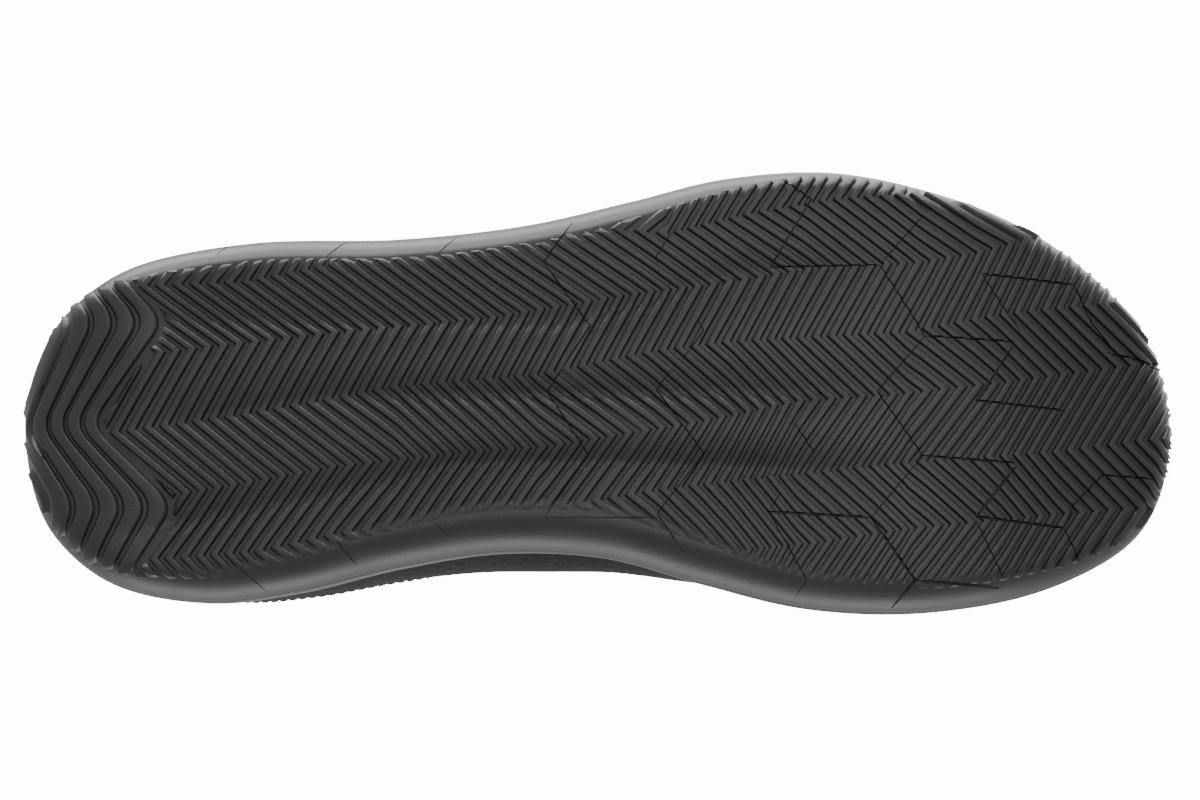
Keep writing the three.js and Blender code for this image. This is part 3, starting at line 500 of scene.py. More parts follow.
rear = make_mesh("tread_rear", *rib_field(FOLDS, SLOPES, RIB_PITCH, RIB_PROFILE, -200, 1, main_border), rubber, 30)
front = make_mesh("tread_front", *rib_field(FOLDS, SLOPES, RIB_PITCH, RIB_PROFILE, 0, 220, main_border), rubber, 30)
heel = make_mesh(
    "tread_heel",
    *rib_field(HEEL_FOLDS, HEEL_SLOPES, HEEL_PITCH, HEEL_PROFILE, -60, 0, heel_border, HEEL_END, 0.8, HEEL_TURN,
               lambda s: 0.45 + 0.55 * np.clip((s + 156) / 26, 0, 1)),
    rubber, 30)

# Thin slits moulded across the tread in cells of six sides: (width, [(along, across), ...]) in mm.
SLITS = [
    (0.35, [(-7, -43), (-14.5, -32), (-2.5, -15.5), (-13.5, 1.5), (-3, 18), (-14, 33.5)]),
    (0.3, [(-14, 34), (14.5, 34)]), (0.3, [(18.5, -40), (14.5, -33.5), (15, -31)]),
    (0.3, [(25, -17.5), (26.5, -14), (21, -6.5)]), (0.3, [(18, -4), (14.5, 1), (26.5, 17.5), (14.5, 33), (21.5, 43)]),
    (0.4, [(47, -54), (54.5, -48.5), (44, -31), (72, -31.5)]), (0.35, [(72, -31.5), (83.5, -44.5)]),
    (0.35, [(72, -31.5), (83.5, -13), (71, 1.5), (82.5, 18), (69, 34)]),
    (0.75, [(43, 32.5), (69, 34)]), (0.75, [(69, 34), (80, 50), (74.5, 56.5)]), (0.75, [(80, 50), (102, 51.5)]),
    (0.3, [(43, 32.5), (52.5, 50), (50, 53.5)]), (0.3, [(43, 32.5), (46, 27.5)]),
    (0.3, [(49.5, 9.5), (54.5, 17), (51, 22.5)]), (0.5, [(83.5, -13), (106.5, -12)]),
    (0.6, [(106.5, -11), (99.5, -0.5), (96.5, 3.5), (119.5, 5.5)]), (0.6, [(98.5, -29.5), (123, -27.5)]),
    (0.3, [(98.5, -29.5), (103, -22.5), (108.5, -14.5)]), (0.35, [(123, -27.5), (126, -31.5)]),
    (0.35, [(123, -27.5), (127.5, -17.5), (133, -11)]), (0.6, [(82.5, 18), (106.5, 19.5)]),
    (0.75, [(106.5, 20.5), (96, 33.5), (119, 36)]), (0.3, [(96, 34.5), (103, 49.5)]),
    (0.5, [(119, 36), (121.5, 30), (129.5, 22), (143.5, 22.5)]), (0.35, [(119, 36), (123, 44.5)]),
    (0.5, [(131.5, -10), (140.5, -8.5), (146, -6.5)]),
    (0.3, [(-94.5, -39.5), (-99, -34.5)]), (0.3, [(-65, -39), (-71, -33)]), (0.3, [(-37, -39.5), (-42, -34)]),
    (0.3, [(-91.5, 47), (-85, 52.5)]), (0.3, [(-67, 40), (-62, 46)]), (0.3, [(-42, 35.5), (-38, 39)]),
    (0.3, [(18, 38.5), (21.5, 43)]),
]
SLIT_DEPTH = 0.45


def slit_tool(width, corners):
    """A thin blade along a line of corners, from below the tread to a little above the smooth rubber."""
    corners = np.array(corners, float)[:, ::-1]
    reach = np.linalg.norm(np.diff(corners, axis=0), axis=1)
    marks = np.concatenate([[0], np.cumsum(reach)])
    at = np.unique(np.concatenate([marks, np.linspace(0, marks[-1], int(marks[-1] / 3) + 2)]))
    line = np.stack([np.interp(at, marks, corners[:, k]) for k in (0, 1)], 1)
    ahead = np.gradient(line, axis=0)
    ahead /= np.linalg.norm(ahead, axis=1, keepdims=True)
    beside = np.stack([-ahead[:, 1], ahead[:, 0]], 1)
    taper = np.clip(np.minimum(at, at[-1] - at) / 1.5 + 0.35, 0, 1)[:, None] * width / 2
    columns = []
    for shift, top in ((-1, 0), (1, 0), (1, 1), (-1, 1)):
        place = line + beside * taper * shift
        d, _ = from_side(line[:, 0], line[:, 1])
        high = dish(line[:, 0], line[:, 1], np.maximum(d, 0.2)) + SLIT_DEPTH
        columns.append(np.column_stack([place, tread_height(line[:, 1]) + (high if top else -1.0)]))
    rows = np.stack(columns, 1)
    count = len(line)
    caps = [(0, 1, 2, 3), tuple(range(4 * count - 4, 4 * count))]
    faces = [tuple(f) for f in grid_faces(count, 4, closed=True)] + caps
    return make_mesh("slit", rows.reshape(-1, 3), faces, rubber)


def cut(piece, tools, keep_tools=False, operation="DIFFERENCE"):
    """Takes the tools' shapes out of the piece, or joins them to it, and leaves a plain mesh."""
    for tool in tools:
        boolean = piece.modifiers.new("cut", "BOOLEAN")
        boolean.object = tool
        boolean.operation = operation
        boolean.solver = "MANIFOLD"
    bpy.context.view_layer.update()
    mesh = bpy.data.meshes.new_from_object(piece.evaluated_get(bpy.context.evaluated_depsgraph_get()))
    piece.modifiers.clear()
    piece.data = mesh
    smooth_shape(mesh, 40)
    if not keep_tools:
        for tool in tools:
            bpy.data.objects.remove(tool)


slits = [slit_tool(width, corners) for width, corners in SLITS]
cut(slits[0], slits[1:], operation="UNION")
for piece in (outsole, rear, front, heel):
    cut(piece, slits[:1], keep_tools=True)
bpy.data.objects.remove(slits[0])
for piece in (outsole, rear, front, heel):
    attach(piece, "shoe")
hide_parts("outsole")

# ---------------------------------------------------------------- midsole
# Moulded foam that fills the rubber dish and rises into a rim round the upper. Its side has the parting
# line of the mould, and two pockets under it hold the shank plate and the heel cushion.
RIM_HEIGHT = 8
RIM_TAPER = 2
HEEL_STACK = 28
FOREFOOT_STACK = 19
UPPER_INSET = 5.8
GAP = 0.3
RIBS = 30


def bed_height(a):
    toe = np.clip((a / HALF - 0.4) / 0.6, 0, 1.2)
    return HEEL_STACK + (FOREFOOT_STACK - HEEL_STACK) * ease(a / HALF, -0.5, 0.4) + 0.85 * TOE_SPRING * toe**2


def rim_height(a):
    return bed_height(a) + RIM_HEIGHT


def loft(section, ribs):
    """A solid lofted along the sole. A section is a half loop of (inset, height above a), mirrored for the other side."""
    half = {}
    for side in (1, -1):
        half[side] = []
        for inset, height in section:
            x, a, _, _ = edge(ribs, side, inset)
            half[side].append(np.stack([x, a, height(a)], 1))
    rows = np.stack([*half[1], *half[-1][::-1]], 1)
    return rows.reshape(-1, 3), grid_faces(rows.shape[0], rows.shape[1], closed=True)


def side_height(share):
    return lambda a: (tread_height(a) + WRAP_HEIGHT + GAP) * (1 - share) + rim_height(a) * share


def foam_side():
    """The outer face of the midsole from its rim down to the rubber, with the parting line half way up."""
    section = [(UPPER_INSET - GAP, bed_height), (UPPER_INSET - GAP, lambda a: rim_height(a) - 0.9)]
    crown = (UPPER_INSET - GAP + RIM_TAPER) / 2
    reach = (UPPER_INSET - GAP - RIM_TAPER) / 2
    for turn in np.linspace(180, 0, 9):
        c, s = math.cos(math.radians(turn)), math.sin(math.radians(turn))
        section.append((crown - reach * c, lambda a, s=s: rim_height(a) - 0.9 + 0.9 * s))
    for share in np.linspace(0.94, 0.02, 26):
        taper = RIM_TAPER * (0.25 * share + 0.75 * share**2)
        line = 0.35 * math.exp(-(((share - 0.47) / 0.025) ** 2))
        lip = 0.5 * math.exp(-(((share - 0.1) / 0.06) ** 2))
        section.append((taper + line - 0.3 * lip, side_height(share)))
    section += [
        (0.25, side_height(0)), (3 + GAP, side_height(0)),
        (3.8 + GAP, lambda a: tread_height(a) + RUBBER + 3.2 + GAP),
        (5.6 + GAP, lambda a: tread_height(a) + RUBBER + 0.9 + GAP),
        (WRAP_RADIUS + GAP, lambda a: tread_height(a) + RUBBER + GAP),
    ]
    return section


foam = moulding("midsole_foam", (0.013, 0.013, 0.014), (0.019, 0.019, 0.0205), 0.4, grain=900.0, bump=0.3, depth=0.0003)
midsole = make_mesh("midsole_foam", *loft(foam_side(), u_list), foam, 50)


def middle_at(a):
    medial, lateral = (np.interp(a, edges[s][0][:, 1], edges[s][0][:, 0]) for s in (1, -1))
    return (medial + lateral) / 2


def pocket(name, length, width, depth, along):
    """A tool with round ends that cuts a pocket in the underside of the foam, 0.4 mm bigger than its insert."""
    half, radius = length / 2 + 0.4, width / 2 + 0.4
    turns = np.radians(np.arange(0, 180, 6))
    top = [(radius * math.cos(t), half - radius + radius * math.sin(t)) for t in turns]
    ring = np.array(top + [(-x, -y) for x, y in top]) + (float(middle_at(along)), along)
    low, high = RUBBER + 2 * GAP - 0.4, RUBBER + 2 * GAP + depth + 0.4
    points = np.vstack([np.column_stack([ring, np.full(len(ring), z)]) for z in (low, high)])
    count = len(ring)
    sides = [(k, (k + 1) % count, (k + 1) % count + count, k + count) for k in range(count)]
    return make_mesh(name, points, sides + [tuple(range(count)), tuple(range(count, 2 * count))], foam)


CUSHION_AT = -0.66 * HALF
CUSHION_RADIUS = 20
SHANK_LENGTH = 84
cut(midsole, [
    pocket("shank_pocket", SHANK_LENGTH, 34, 1.5, CUSHION_AT + CUSHION_RADIUS + 7 + SHANK_LENGTH / 2),
    pocket("cushion_pocket", 2 * CUSHION_RADIUS, 2 * CUSHION_RADIUS, 7, CUSHION_AT),
])
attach(midsole, "shoe")
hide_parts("midsole")

# ---------------------------------------------------------------- sockliner
# The loose insole: moulded foam with a knitted cover bonded on it. It only lies on the board.
LINING = 0.8
PADDING = 2
SHELL = 1.4
OVERLAY = 1.4
PADDING_IN = LINING + GAP
PADDING_OUT = PADDING_IN + PADDING
SHELL_IN = PADDING_OUT + GAP
SHELL_OUT = SHELL_IN + SHELL
OVERLAY_IN = SHELL_OUT + 0.45
OVERLAY_OUT = OVERLAY_IN + OVERLAY
LINING_INSET = UPPER_INSET + SHELL_OUT
SOCKLINER_BOTTOM = 2.1
SOCKLINER_THICKNESS = 4
COVER = 0.8



def knit_effect():
    """Rows of knitted loops on the cloth's own coordinates in mm, with small openings where Open is above 0. Its shade
    output is painted shade: darker on the sides of each yarn, in the troughs of the loops and in the openings.
    """
    tree, given, result = effect("knit", {"Cloth": "V", "Pitch": "F", "Open": "F"}, {"Height": "F", "Painted_Shade": "F"})
    split = node(tree, "ShaderNodeSeparateXYZ", {0: given["Cloth"]})
    x = sums(tree, "DIVIDE", split.outputs[0], given["Pitch"])
    y = sums(tree, "DIVIDE", split.outputs[1], given["Pitch"])
    leg = sums(tree, "ABSOLUTE", sums(tree, "SUBTRACT", sums(tree, "FRACT", x), 0.5))
    slant = sums(tree, "MULTIPLY_ADD", leg, 0.9, y)
    wave = sums(tree, "SINE", sums(tree, "MULTIPLY", slant, 2 * math.pi))
    side = sums(tree, "MULTIPLY", sums(tree, "SUBTRACT", leg, 0.25), 4.0)
    round_yarn = sums(tree, "SUBTRACT", 1.0, sums(tree, "MULTIPLY", side, side))
    yarn = sums(tree, "MULTIPLY", round_yarn, sums(tree, "MULTIPLY_ADD", wave, 0.3, 0.7))
    row = sums(tree, "FLOOR", sums(tree, "MULTIPLY", y, 0.25))
    shifted = sums(tree, "MULTIPLY_ADD", row, 0.5, sums(tree, "MULTIPLY", x, 0.25))
    dx = sums(tree, "SUBTRACT", sums(tree, "FRACT", shifted), 0.5)
    dy = sums(tree, "SUBTRACT", sums(tree, "FRACT", sums(tree, "MULTIPLY", y, 0.25)), 0.5)
    far = sums(tree, "SQRT", sums(tree, "ADD", sums(tree, "MULTIPLY", dx, dx), sums(tree, "MULTIPLY", dy, dy)))
    hole = node(tree, "ShaderNodeMapRange", {"Value": far, "From Min": 0.3, "From Max": 0.16})
    open_ = sums(tree, "MULTIPLY", hole.outputs[0], given["Open"])
    tree.links.new(sums(tree, "SUBTRACT", yarn, sums(tree, "MULTIPLY", open_, 1.6)), result["Height"])
    # Painted shade: the yarn colour is darkened on the sides of each yarn, in the troughs of the loops, and much darker
    # in the openings.
    tree.links.new(sums(tree, "MULTIPLY", sums(tree, "MULTIPLY_ADD", yarn, 0.55, 0.45), sums(tree, "SUBTRACT", 1.0, open_)),
                   result["Painted_Shade"])
    return tree


def weave_effect():
    """A flat woven tape on its own coordinates in mm: slanting yarns that meet in a herringbone. Its shade output is
    painted shade, darker where the yarns lie low.
    """
    tree, given, result = effect("weave", {"Cloth": "V", "Pitch": "F", "Open": "F"}, {"Height": "F", "Painted_Shade": "F"})
    split = node(tree, "ShaderNodeSeparateXYZ", {0: given["Cloth"]})
    x = sums(tree, "DIVIDE", split.outputs[0], given["Pitch"])
    y = sums(tree, "DIVIDE", split.outputs[1], given["Pitch"])
    fold = sums(tree, "PINGPONG", y, 2.0)
    slant = sums(tree, "SINE", sums(tree, "MULTIPLY", sums(tree, "ADD", x, fold), 2 * math.pi))
    warp = sums(tree, "COSINE", sums(tree, "MULTIPLY", y, 4 * math.pi))
    yarn = sums(tree, "MULTIPLY_ADD", slant, 0.34, sums(tree, "MULTIPLY_ADD", warp, 0.16, 0.5))
    tree.links.new(yarn, result["Height"])
    # Painted shade: the colour is darker where the yarns lie low, between them.
    tree.links.new(sums(tree, "MULTIPLY_ADD", yarn, 0.6, 0.4), result["Painted_Shade"])
    return tree


knit, weave = knit_effect(), weave_effect()


def cloth(name, base, pattern, pitch, opening=0.0, roughness=0.85, bump=0.6, depth=0.00025, **sockets):
    """A textile finish: the pattern darkens the colour with painted shade between the yarns and lifts them, and fine
    fuzz breaks it up.
    """
    finish = bpy.data.materials.new(name)
    finish.use_nodes = True
    tree = finish.node_tree
    coordinates = node(tree, "ShaderNodeTexCoord").outputs
    yarns = node(tree, "ShaderNodeGroup", node_tree=pattern)
    tree.links.new(coordinates["UV"], yarns.inputs["Cloth"])
    yarns.inputs["Pitch"].default_value = pitch
    yarns.inputs["Open"].default_value = opening
    skin = node(tree, "ShaderNodeGroup", {"Place": coordinates["Object"]}, node_tree=moulded_skin)
    light = tuple(1.5 * c for c in base)
    for label, value in (("Grain", 2600.0), ("Clouds", 60.0), ("Base", (*base, 1)), ("Faded", (*light, 1)),
                         ("Rough", roughness), ("Spread", 0.15)):
        skin.inputs[label].default_value = value
    # Painted shade: the yarn pattern's shade output multiplies the cloudy colour, darker between the yarns and in the
    # openings.
    yarn_painted_shade = node(tree, "ShaderNodeMix", {0: 1.0, 6: skin.outputs["Color"], 7: yarns.outputs["Painted_Shade"]},
                  data_type="RGBA", blend_type="MULTIPLY")
    shader = tree.nodes["Principled BSDF"]
    tree.links.new(yarn_painted_shade.outputs[2], shader.inputs["Base Color"])
    tree.links.new(skin.outputs["Roughness"], shader.inputs["Roughness"])
    fuzz = sums(tree, "MULTIPLY_ADD", skin.outputs["Height"], 0.3, yarns.outputs["Height"])
    relief = node(tree, "ShaderNodeBump", {"Height": fuzz, "Strength": bump, "Distance": depth})
    tree.links.new(relief.outputs[0], shader.inputs["Normal"])
    shader.inputs["Sheen Weight"].default_value = 0.08
    shader.inputs["Sheen Roughness"].default_value = 0.5
    for label, value in sockets.items():
        shader.inputs[label.replace("_", " ")].default_value = value
    return finish


knit_black = cloth("lining_knit", (0.016, 0.016, 0.0168), knit, 0.9)
foam_black = moulding("soft_foam", (0.03, 0.03, 0.03), (0.05, 0.05, 0.05), 0.9, grain=700.0, bump=0.7, depth=0.0006)


def bed_layer(bottom, thickness, inset, rounding):
    """A flat layer of the foot bed with a rounded upper edge."""
    above = lambda rise: lambda a: bed_height(a) + bottom + rise
    section = [(inset, above(0))]
    for turn in np.linspace(0, 90, 6):
        c, s = math.cos(math.radians(turn)), math.sin(math.radians(turn))
        section.append((inset + rounding * (1 - c), above(thickness - rounding + rounding * s)))
    section += [(inset + 3, above(thickness)), (inset + 8, above(thickness - 0.3))]
    return section


insole = make_mesh("sockliner_pad", *loft(
    bed_layer(SOCKLINER_BOTTOM, SOCKLINER_THICKNESS, LINING_INSET + 1, 0.3), u_list[2:-2]), foam_black, 50)
cover_points, cover_faces = loft(
    bed_layer(SOCKLINER_BOTTOM + SOCKLINER_THICKNESS + GAP, COVER, LINING_INSET + 1, 0.6), u_list[2:-2])
insole_cover = make_mesh("sockliner_knit", cover_points, cover_faces, knit_black, 50, cover_points[:, :2])
for piece, stands_for, finish in ((insole, "sockliner_foam", "soft_foam"), (insole_cover, "sockliner_cover", "lining")):
    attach(piece, "sockliner")
    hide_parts(stands_for)

# ---------------------------------------------------------------- upper
# Textile vamp over the toes and two textile quarters, seamed behind the throat and at the heel.
# Each is a thin sheet that follows the foot, from the board up to the top line.
THROAT_RIB = 19
THROAT_TOP_RIB = 14
RIDGE = [
    (-0.79, 122), (-0.53, 122), (-0.427, 118), (-0.333, 106.5), (-0.253, 94.5), (-0.167, 83), (-0.08, 74),
    (0, 67.5), (0.133, 59), (0.267, 52.5), (0.4, 46.5), (0.533, 41.5), (0.667, 36), (0.79, 30.5),
]
RIDGE_REACH = 0.787
MEDIAL_BELLY = [(-1, 2), (-0.7, 3), (-0.35, 8), (-0.07, 13), (0.2, 9), (0.42, 4), (0.8, 2), (1, 1)]
LATERAL_BELLY = [(-1, 2), (-0.7, 3), (-0.3, 5), (0, 6), (0.3, 4), (0.8, 2), (1, 1)]
TOP_LINE = [
    (-1, 0.3), (-0.8, 0.255), (-0.62, 0.19), (-0.48, 0.178), (-0.33, 0.23), (-0.2, 0.4), (-0.1, 0.6),
    (-0.03, 0.7), (0.13, 0.74), (0.27, 0.79), (0.42, 0.83), (1, 0.83),
]


def through(points):
    """A smooth function through (x, y) points."""
    xs, ys = np.array(points, float).T
    ends = np.arange(len(xs))
    before, after = np.maximum(ends - 1, 0), np.minimum(ends + 1, len(xs) - 1)
    slopes = (ys[after] - ys[before]) / (xs[after] - xs[before])

    def at(x):
        x = np.clip(x, xs[0], xs[-1])
        k = np.clip(np.searchsorted(xs, x, "right") - 1, 0, len(xs) - 2)
        w = xs[k + 1] - xs[k]
        t = (x - xs[k]) / w
        h = t * t * (3 - 2 * t)
        bend = slopes[k] * w * t * (1 - t) ** 2 - slopes[k + 1] * w * t * t * (1 - t)
        return ys[k] * (1 - h) + ys[k + 1] * h + bend

    return at


ridge_above, top_share = through(RIDGE), through(TOP_LINE)
bellies = {1: through(MEDIAL_BELLY), -1: through(LATERAL_BELLY)}


def top_of(rib):
    return top_share(along_of(rib / RIBS) / HALF)


def on_side(rib, side, up, off):
    rib, up, off = np.broadcast_arrays(*(np.asarray(v, float) for v in (rib, up, off)))
    share = along_of(rib / RIBS) / HALF
    foot_x, foot_a, out_x, out_a = edge(rib / RIBS, side, LINING_INSET)
    top_a = RIDGE_REACH * share * HALF
    top_x = (edge(rib / RIBS, 1)[0] + edge(rib / RIBS, -1)[0]) / 2 + 1.5
    top_z = bed_height(top_a) + ridge_above(top_a / HALF)
    box = 1 - 0.18 * ease(share, 0.1, 0.7)
    c = np.maximum(np.cos(up * np.pi / 2), 0) ** box
    s = np.maximum(np.sin(up * np.pi / 2), 0) ** box
    bottom = bed_height(foot_a + off * out_a) + GAP
    rise = np.maximum((top_z - bottom) * s - RIM_HEIGHT - 3, 0) / 18
    swell = rise**2 * np.exp(2 - 2 * rise) * (1 - up)
    reach = off * c + bellies[side](share) * swell
    return np.stack([
        top_x + (foot_x - top_x) * c + out_x * reach,
        top_a + (foot_a - top_a) * c + out_a * reach,
        bottom + (top_z + off - bottom) * s,
    ], -1)


def on_upper(rib, side, up, off):
    """A point of the upper: up is 0 at the board and 1 on the ridge of the foot, off is mm out from the foot."""
    side = np.asarray(side)
    return np.where((side > 0)[..., None], on_side(rib, 1, up, off), on_side(rib, -1, up, off))


def facing(rib, side, up, off):
    d = 0.02
    along = on_upper(rib + d, side, up, off) - on_upper(rib - d, side, up, off)
    climb = on_upper(rib, side, up + d, off) - on_upper(rib, side, up - d, off)
    normal = np.cross(along, climb)
    normal /= np.linalg.norm(normal, axis=-1, keepdims=True)
    return np.where((normal[..., 2] < 0)[..., None], -normal, normal)


def rim_share(rib, side, off):
    """Where the upper comes out of the midsole's rim."""
    low, high = np.zeros_like(rib), np.full_like(rib, 0.6)
    for _ in range(22):
        middle = (low + high) / 2
        p = on_upper(rib, side, middle, off)
        under = p[..., 2] < rim_height(p[..., 1]) + 2 * GAP
        low, high = np.where(under, middle, low), np.where(under, high, middle)
    return high


def round_tip(from_rib, to_rib, per_rib=8):
    """Columns of the upper from one side, round a tip, to the other: ribs and sides."""
    tip = 0 if from_rib < 15 and to_rib < 15 or from_rib in (0,) else RIBS
    one = np.linspace(from_rib, tip, max(2, int(abs(from_rib - tip) * per_rib)) + 1)
    two = np.linspace(tip, to_rib, max(2, int(abs(to_rib - tip) * per_rib)) + 1)[1:]
    return np.concatenate([one, two]), np.concatenate([np.ones(len(one)), -np.ones(len(two))])


def flat_cloth(points):
    """Points of the upper laid flat, as (across, along) in mm: the sides swing out by their depth."""
    x, a, z = points[:, 0], points[:, 1], points[:, 2]
    d, out = from_side(x, a)
    middle = middle_at(np.clip(a, -HALF + 1, HALF - 1))
    away = np.stack([x - middle, np.where(a > 60, a - 60, np.where(a < -60, a + 60, 0))], 1)
    away /= np.maximum(np.linalg.norm(away, axis=1, keepdims=True), 1e-3)
    fall = np.interp(a, [-HALF, -60, 0, 100, HALF], [110, 110, 90, 50, 40]) - z
    return np.stack([x, a], 1) + away * fall[:, None]


def sheet(name, ribs, sides, low, high, inside, outside, finish, steps=40, folded=False, rounding=0.012, ends=0.06,
          extra=None):
    """A sheet of the upper. Its borders are rounded, and a folded sheet meets itself along the ridge."""
    start, stop = np.asarray(low(ribs, sides), float), np.asarray(high(ribs, sides), float)
    inner_v = np.linspace(0, 1, steps + 1)
    curl = 1 - np.cos(np.radians([0, 30, 55, 75, 90]))
    span = float(np.mean(stop - start))
    lip = curl * rounding / span
    v = np.concatenate([lip, inner_v[(inner_v > lip[-1]) & (inner_v < 1 - lip[-1])], 1 - lip[::-1]])
    if folded:
        v = np.concatenate([lip, inner_v[inner_v > lip[-1]]])
    from_low = np.clip(v * span / rounding, 0, 1)
    from_high = np.ones_like(v) if folded else np.clip((1 - v) * span / rounding, 0, 1)
    from_ends = np.ones_like(ribs)
    if ends:
        run = np.concatenate([[0], np.cumsum(np.abs(np.diff(ribs)))])
        from_ends = np.minimum(run, run[-1] - run) / ends
    thick = np.minimum(np.minimum(from_low, from_high)[None], np.clip(from_ends, 0, 1)[:, None])
    thick = np.sqrt(np.maximum(1 - (1 - thick) ** 2, 0))
    rib, side = np.broadcast_arrays(ribs[:, None], v[None])[0], np.broadcast_arrays(sides[:, None], v[None])[0]
    up = start[:, None] + (stop - start)[:, None] * v
    face_in, face_out = inside(rib, up) + np.zeros_like(up), outside(rib, up) + np.zeros_like(up)
    middle, half = (face_in + face_out) / 2, (face_out - face_in) / 2 * thick
    top = on_upper(rib, side, up, middle + half)
    bottom = on_upper(rib, side, up, middle - half)
    if extra is not None:
        top = top + extra(rib, side, up)
    count = up.size
    quads = grid_faces(*up.shape)
    points = np.vstack([top.reshape(-1, 3), bottom.reshape(-1, 3)])
    if folded:
        laid = flat_cloth(points)
    else:
        level = top[:, len(v) // 2]
        run = np.concatenate([[0], np.cumsum(np.linalg.norm(np.diff(level, axis=0), axis=1))])
        climb = np.linalg.norm(np.diff(top, axis=1, prepend=top[:, :1]), axis=2).cumsum(1)
        laid = np.tile(np.stack([climb, np.broadcast_to(run[:, None], up.shape)], -1).reshape(-1, 2), (2, 1))
    return make_mesh(name, points, np.vstack([quads, quads[:, ::-1] + count]), finish, 50, laid)


def fixed(depth):
    return lambda rib, up: depth


board = lambda ribs, sides: np.zeros_like(ribs)
ridge_line = lambda ribs, sides: np.ones_like(ribs)
top_line = lambda ribs, sides: top_of(ribs)
SEAM = 0.03
mesh_black = cloth("mesh_textile", (0.011, 0.011, 0.0118), knit, 0.8, opening=0.8)

front_ribs, front_sides = round_tip(THROAT_RIB + SEAM, THROAT_RIB + SEAM)
vamp = sheet("vamp_textile", front_ribs, front_sides, board, ridge_line, fixed(SHELL_IN), fixed(SHELL_OUT), mesh_black,
             folded=True)
vamp_lining = sheet("vamp_inside", front_ribs, front_sides, board, ridge_line, fixed(0), fixed(LINING), knit_black,
                    folded=True)
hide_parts("vamp")
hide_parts("vamp_lining")
quarters = {}
for name, side in (("medial", 1), ("lateral", -1)):
    ribs = np.linspace(SEAM, THROAT_RIB - SEAM, 19 * 8)
    quarters[name] = sheet(f"{name}_quarter_textile", ribs, np.full_like(ribs, side), board, top_line,
                           fixed(SHELL_IN), fixed(SHELL_OUT), mesh_black)
    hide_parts(f"{name}_quarter")

# ---------------------------------------------------------------- eyestays and eyelets
# A fused film stiffens each lacing flap, and twelve flanged rings line its holes through every layer.
EYELET_ROWS = 6
EYESTAY_WIDTH = 0.19
EYELET_BORE = 2
EYELET_WALL = 0.6
EYELET_FLANGE = 4
film_black = moulding("fused_film", (0.012, 0.012, 0.013), (0.018, 0.018, 0.019), 0.5, grain=1500.0, bump=0.35)
ring_black = moulding("eyelet_lacquer", (0.012, 0.012, 0.013), (0.02, 0.02, 0.021), 0.22, spread=0.15, bump=0.08)

flap_ribs = np.linspace(THROAT_TOP_RIB, THROAT_RIB - SEAM, 60)


def rounded(distance, radius):
    """From 0 at the end of a border to 1 a radius along it, as a quarter of a circle."""
    return np.sqrt(1 - (1 - np.clip(distance / radius, 0, 1)) ** 2)


def flap_bottom(ribs, sides):
    ends = np.minimum(ribs - THROAT_TOP_RIB, THROAT_RIB - SEAM - ribs)
    return top_of(ribs) - EYESTAY_WIDTH * (0.74 + 0.26 * rounded(ends, 0.5))


for name, side in (("medial", 1), ("lateral", -1)):
    quarters[name + "_flap"] = sheet(
        f"{name}_eyestay_film", flap_ribs, np.full_like(flap_ribs, side),
        flap_bottom, top_line, fixed(OVERLAY_IN), fixed(OVERLAY_OUT), film_black,
        steps=16)
    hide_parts(f"{name}_eyestay")


def eyelet_place(row):
    rib = THROAT_RIB - 0.6 + (THROAT_TOP_RIB + 0.45 - THROAT_RIB + 0.6) * row / (EYELET_ROWS - 1)
    return rib, float(top_of(rib) - EYESTAY_WIDTH * 0.5)


def frames(places, heading, normal):
    """A mesh of points that carry a heading and a normal each, in the object's frame."""
    mesh = bpy.data.meshes.new("places")
    mesh.from_pydata((np.asarray(places) * (MM, -MM, MM)).tolist(), [], [])
    for key, vectors in (("heading", heading), ("normal", normal)):
        attribute = mesh.attributes.new(key, "FLOAT_VECTOR", "POINT")
        attribute.data.foreach_set("vector", (np.asarray(vectors) * (1, -1, 1)).ravel())
    return mesh


def repeat_tree(name, shape, inputs):
    """A tree that sets one shape at every place, with the shape's X along the heading and its Z out of the surface.
    shape(tree, socket) makes the shape from the tree's named inputs."""
    tree = bpy.data.node_groups.new(name, "GeometryNodeTree")
    tree.interface.new_socket("Places", in_out="INPUT", socket_type="NodeSocketGeometry")
    for label, value in inputs.items():
        tree.interface.new_socket(label, in_out="INPUT", socket_type="NodeSocketFloat").default_value = value
    tree.interface.new_socket("Finish", in_out="INPUT", socket_type="NodeSocketMaterial")
    tree.interface.new_socket("Pieces", in_out="OUTPUT", socket_type="NodeSocketGeometry")
    given, result = tree.nodes.new("NodeGroupInput"), tree.nodes.new("NodeGroupOutput")
    instance = tree.nodes.new("GeometryNodeInstanceOnPoints")
    turn = tree.nodes.new("FunctionNodeAxesToRotation")
    turn.primary_axis, turn.secondary_axis = "Z", "X"
    for key, socket in (("normal", turn.inputs[0]), ("heading", turn.inputs[1])):
        read = tree.nodes.new("GeometryNodeInputNamedAttribute")
        read.data_type = "FLOAT_VECTOR"
        read.inputs["Name"].default_value = key
        tree.links.new(next(s for s in read.outputs if s.enabled and s.name == "Attribute"), socket)
    tree.links.new(given.outputs["Places"], instance.inputs["Points"])
    tree.links.new(shape(tree, given.outputs), instance.inputs["Instance"])
    tree.links.new(turn.outputs[0], instance.inputs["Rotation"])
    realize, paint = tree.nodes.new("GeometryNodeRealizeInstances"), tree.nodes.new("GeometryNodeSetMaterial")
    tree.links.new(instance.outputs[0], realize.inputs[0])
    tree.links.new(realize.outputs[0], paint.inputs["Geometry"])
    tree.links.new(given.outputs["Finish"], paint.inputs["Material"])
    tree.links.new(paint.outputs[0], result.inputs[0])
    return tree


